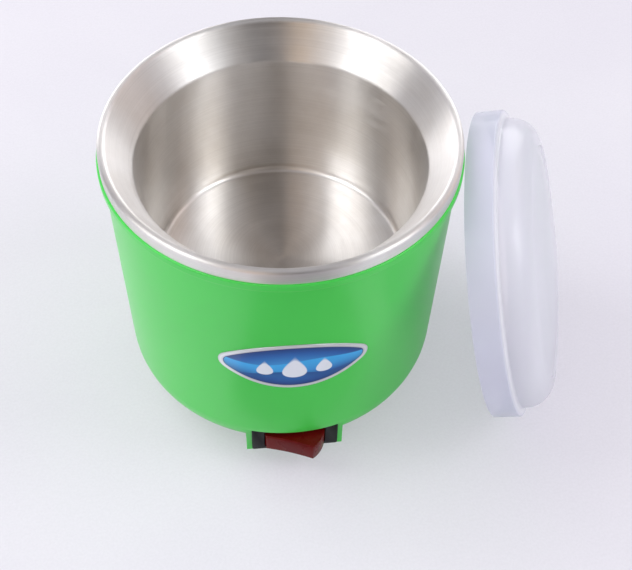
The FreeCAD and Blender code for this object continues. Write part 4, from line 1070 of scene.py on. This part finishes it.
FINISHES = {
    "zinc_steel": ZINC,
    "plain_steel": worked_metal("plain_sheet", (0.44, 0.45, 0.46), (0.60, 0.61, 0.62), 0.42, 90.0),
    "heater_strip": worked_metal("oxidised_strip", (0.30, 0.27, 0.24), (0.52, 0.48, 0.43), 0.45, 240.0),
    "aluminium": worked_metal("aluminium_cap", (0.72, 0.72, 0.73), (0.84, 0.84, 0.85), 0.30, 200.0),
    "brass": worked_metal("turned_brass", (0.66, 0.49, 0.20), (0.82, 0.65, 0.32), 0.28, 220.0),
    "mica": flaky("mica_sheet", (0.46, 0.39, 0.28), (0.68, 0.61, 0.48), 0.40, 260.0, 0.3),
    "glass_fibre": flaky("glass_fibre_mat", (0.70, 0.67, 0.60), (0.90, 0.88, 0.82), 0.85, 500.0, 0.8),
    "brown_phenolic": moulded("brown_resin", (0.110, 0.050, 0.024), (0.190, 0.095, 0.050), 0.38),
    "block_white": moulded("block_white", (0.76, 0.75, 0.70), (0.86, 0.85, 0.81), 0.42),
    "lead_sleeve": moulded(
        "lead_sleeve", (0.50, 0.040, 0.025), (0.66, 0.075, 0.050), 0.48, grain=600.0
    ),
    "boot_clear": moulded(
        "boot_clear", (0.62, 0.62, 0.58), (0.76, 0.76, 0.72), 0.32, Transmission_Weight=0.35
    ),
}
dressed = 0
for row in frame["record"]["subparts"]:
    finish = FINISHES.get(row["material_slot"])
    if finish:
        mesh = nodes[row["node"]].data
        mesh.materials.clear()
        mesh.materials.append(finish)
        dressed += 1
print("inner solids with a finish:", dressed)

# %% [markdown]
# ## Table, light and what the steel sees
# The pot stands on a sheet of pale cloth in even studio light. One large soft lamp stands behind
# to the left, so the shadow falls to the right and forward. A weaker one fills from the right, and
# two faint ones lift the front and the left. Steel looks like what it reflects, so the lamps are
# hidden from reflections, and cards that only reflections can see stand in for the room: a window
# on the left, a bright strip on the right, pale walls at the back, and the dark, warm room behind
# the camera. A dim sheet on the table does the same for the rim's skirt and the rocker.

# %% Lay the cloth


def cloth():
    """Pale woven cloth that the camera sees a little brighter than the light makes it."""
    mat, shader = new_finish("pale_cloth", Roughness=0.9)
    place = object_place(mat)
    # painted shade of soft folds: broad, faint darker patches in the cloth's colour
    fold_shade = noise(mat, place, 5.0, 4.0, Distortion=0.6)
    pale = ramp(mat, fold_shade, [(0.3, (0.800, 0.775, 0.850)), (0.7, (0.850, 0.828, 0.890))])
    thread = ramp(mat, noise(mat, place, 900.0, 2.0), [(0.3, 0.965), (0.7, 1.0)])
    tone = mixed(mat, 1.0, pale, thread, "MULTIPLY")
    feed(mat, shader, Base_Color=tone)
    glow = add(mat, "ShaderNodeEmission", Color=tone, Strength=1.0).outputs[0]
    path = add(mat, "ShaderNodeLightPath").outputs
    seen = maths(mat, "MAXIMUM", path["Is Camera Ray"], path["Is Transmission Ray"])
    part = maths(mat, "MULTIPLY", seen, 0.45)
    both = add(mat, "ShaderNodeMixShader", in_0=part, in_1=shader.outputs[0], in_2=glow).outputs[0]
    feed(mat, mat.node_tree.nodes["Material Output"], Surface=both)
    return mat


def sheet(name, middle, across, upward, finish):
    """A flat card from its middle and its two half sides, in metres."""
    middle, across, upward = Vector(middle), Vector(across), Vector(upward)
    low, high = middle - upward, middle + upward
    corners = [low - across, low + across, high + across, high - across]
    mesh = bpy.data.meshes.new(name)
    mesh.from_pydata(corners, [], [(0, 1, 2, 3)])
    mesh.materials.append(finish)
    made = placed(name, mesh)
    return made


sheet("cloth", (0, 0, -0.0002), (2.5, 0, 0), (0, 2.5, 0), cloth())
print("cloth laid 0.2 mm under the feet")

# %% Set the lights and the cards
CARD_DISTANCE, CARD_EYE = 0.8, 0.1  # metres from the axis, and the height that angles start from


def soft_light(name, place, aim, size, power):
    """A white rectangular lamp, hidden from reflections."""
    data = bpy.data.lights.new(name, "AREA")
    data.shape = "RECTANGLE"
    data.size, data.size_y = size
    data.energy = power
    lamp = bpy.data.objects.new(name, data)
    lamp.location = place
    lamp.rotation_euler = (Vector(aim) - Vector(place)).to_track_quat("-Z", "Y").to_euler()
    lamp.visible_glossy = False
    bpy.context.scene.collection.objects.link(lamp)
    return lamp


def reflected_sheet(name, middle, across, upward, colour, strength=1.0):
    """A glowing sheet that only reflections see."""
    mat = bpy.data.materials.new(name)
    mat.use_nodes = True
    mat.node_tree.nodes.remove(mat.node_tree.nodes["Principled BSDF"])
    glow = add(mat, "ShaderNodeEmission", Color=(*colour, 1), Strength=strength).outputs[0]
    feed(mat, mat.node_tree.nodes["Material Output"], Surface=glow)
    made = sheet(name, middle, across, upward, mat)
    made.visible_camera = False
    made.visible_diffuse = False
    made.visible_shadow = False
    made.visible_transmission = False


def card(name, azimuth, half_width, low, high, colour, strength=1.0):
    """An upright card by its angles in degrees as seen from the bowl.

    The azimuth counts from the front, positive to the right.
    """
    turn = math.radians(azimuth)
    half = CARD_DISTANCE * math.tan(math.radians(half_width))
    outward = Vector((math.sin(turn), -math.cos(turn), 0)) * CARD_DISTANCE
    aside = Vector((math.cos(turn), math.sin(turn), 0)) * half
    foot, top = (CARD_EYE + CARD_DISTANCE * math.tan(math.radians(angle)) for angle in (low, high))
    middle, upward = Vector((0, 0, (foot + top) / 2)), Vector((0, 0, (top - foot) / 2))
    reflected_sheet(name, outward + middle, aside, upward, colour, strength)


lamps = [
    soft_light("key", (-0.75, 0.30, 0.95), (0, 0, 0.06), (0.9, 0.9), 8.6),
    soft_light("fill", (0.95, -0.20, 0.75), (0, 0, 0.06), (0.5, 0.9), 5.2),
    soft_light("front", (-0.25, -1.1, 0.8), (0, 0, 0.06), (0.8, 0.6), 1.6),
    soft_light("side", (-1.1, -0.35, 0.30), (0, 0, 0.08), (0.5, 0.4), 1.6),
]
card("dark_room", 5, 15, 0, 60, (0.05, 0.043, 0.037))
card("dim_room", 28, 8, 0, 58, (0.36, 0.33, 0.31))
card("warm_wall", -19, 8, 0, 50, (0.86, 0.60, 0.37))
card("edge_light", -38, 8, 30, 60, (1.0, 0.88, 0.78), 1.3)
card("window", -64, 12, 30, 60, (1.0, 0.99, 0.99), 4.6)
card("window_side", -86, 9, 20, 60, (1.0, 0.98, 0.98), 3.2)
card("window_foot", -76, 10, 0, 28, (0.94, 0.97, 1.0), 0.9)
card("right_glow", 44, 8, 0, 60, (1.0, 0.99, 1.0))
card("right_light", 62, 9, 28, 58, (1.0, 1.0, 1.0), 4.6)
card("right_edge", 76, 5, 28, 58, (1.0, 0.98, 1.0), 2.6)
card("warm_corner", 114, 14, 20, 60, (1.0, 0.80, 0.72), 1.1)
card("back_light", 151, 18, 0, 40, (1.0, 0.98, 1.0), 2.6)
card("back_gap", 176, 6, 0, 60, (0.14, 0.125, 0.12))
reflected_sheet("dim_table", (0.012, -0.165, 0.003), (0.062, 0, 0), (0, 0.085, 0), (0.24, 0.225, 0.22))
card("back_window", 204, 21, 0, 30, (1.0, 0.98, 1.0), 3.2)

world = bpy.data.worlds.new("studio")
bpy.context.scene.world = world
world.use_nodes = True
back = world.node_tree.nodes["Background"]
back.inputs["Color"].default_value = (0.90, 0.88, 0.94, 1)
back.inputs["Strength"].default_value = 0.58
print("lamps:", ", ".join(lamp.name for lamp in lamps))

# %% Finish
bpy.context.scene.view_settings.view_transform = "Standard"
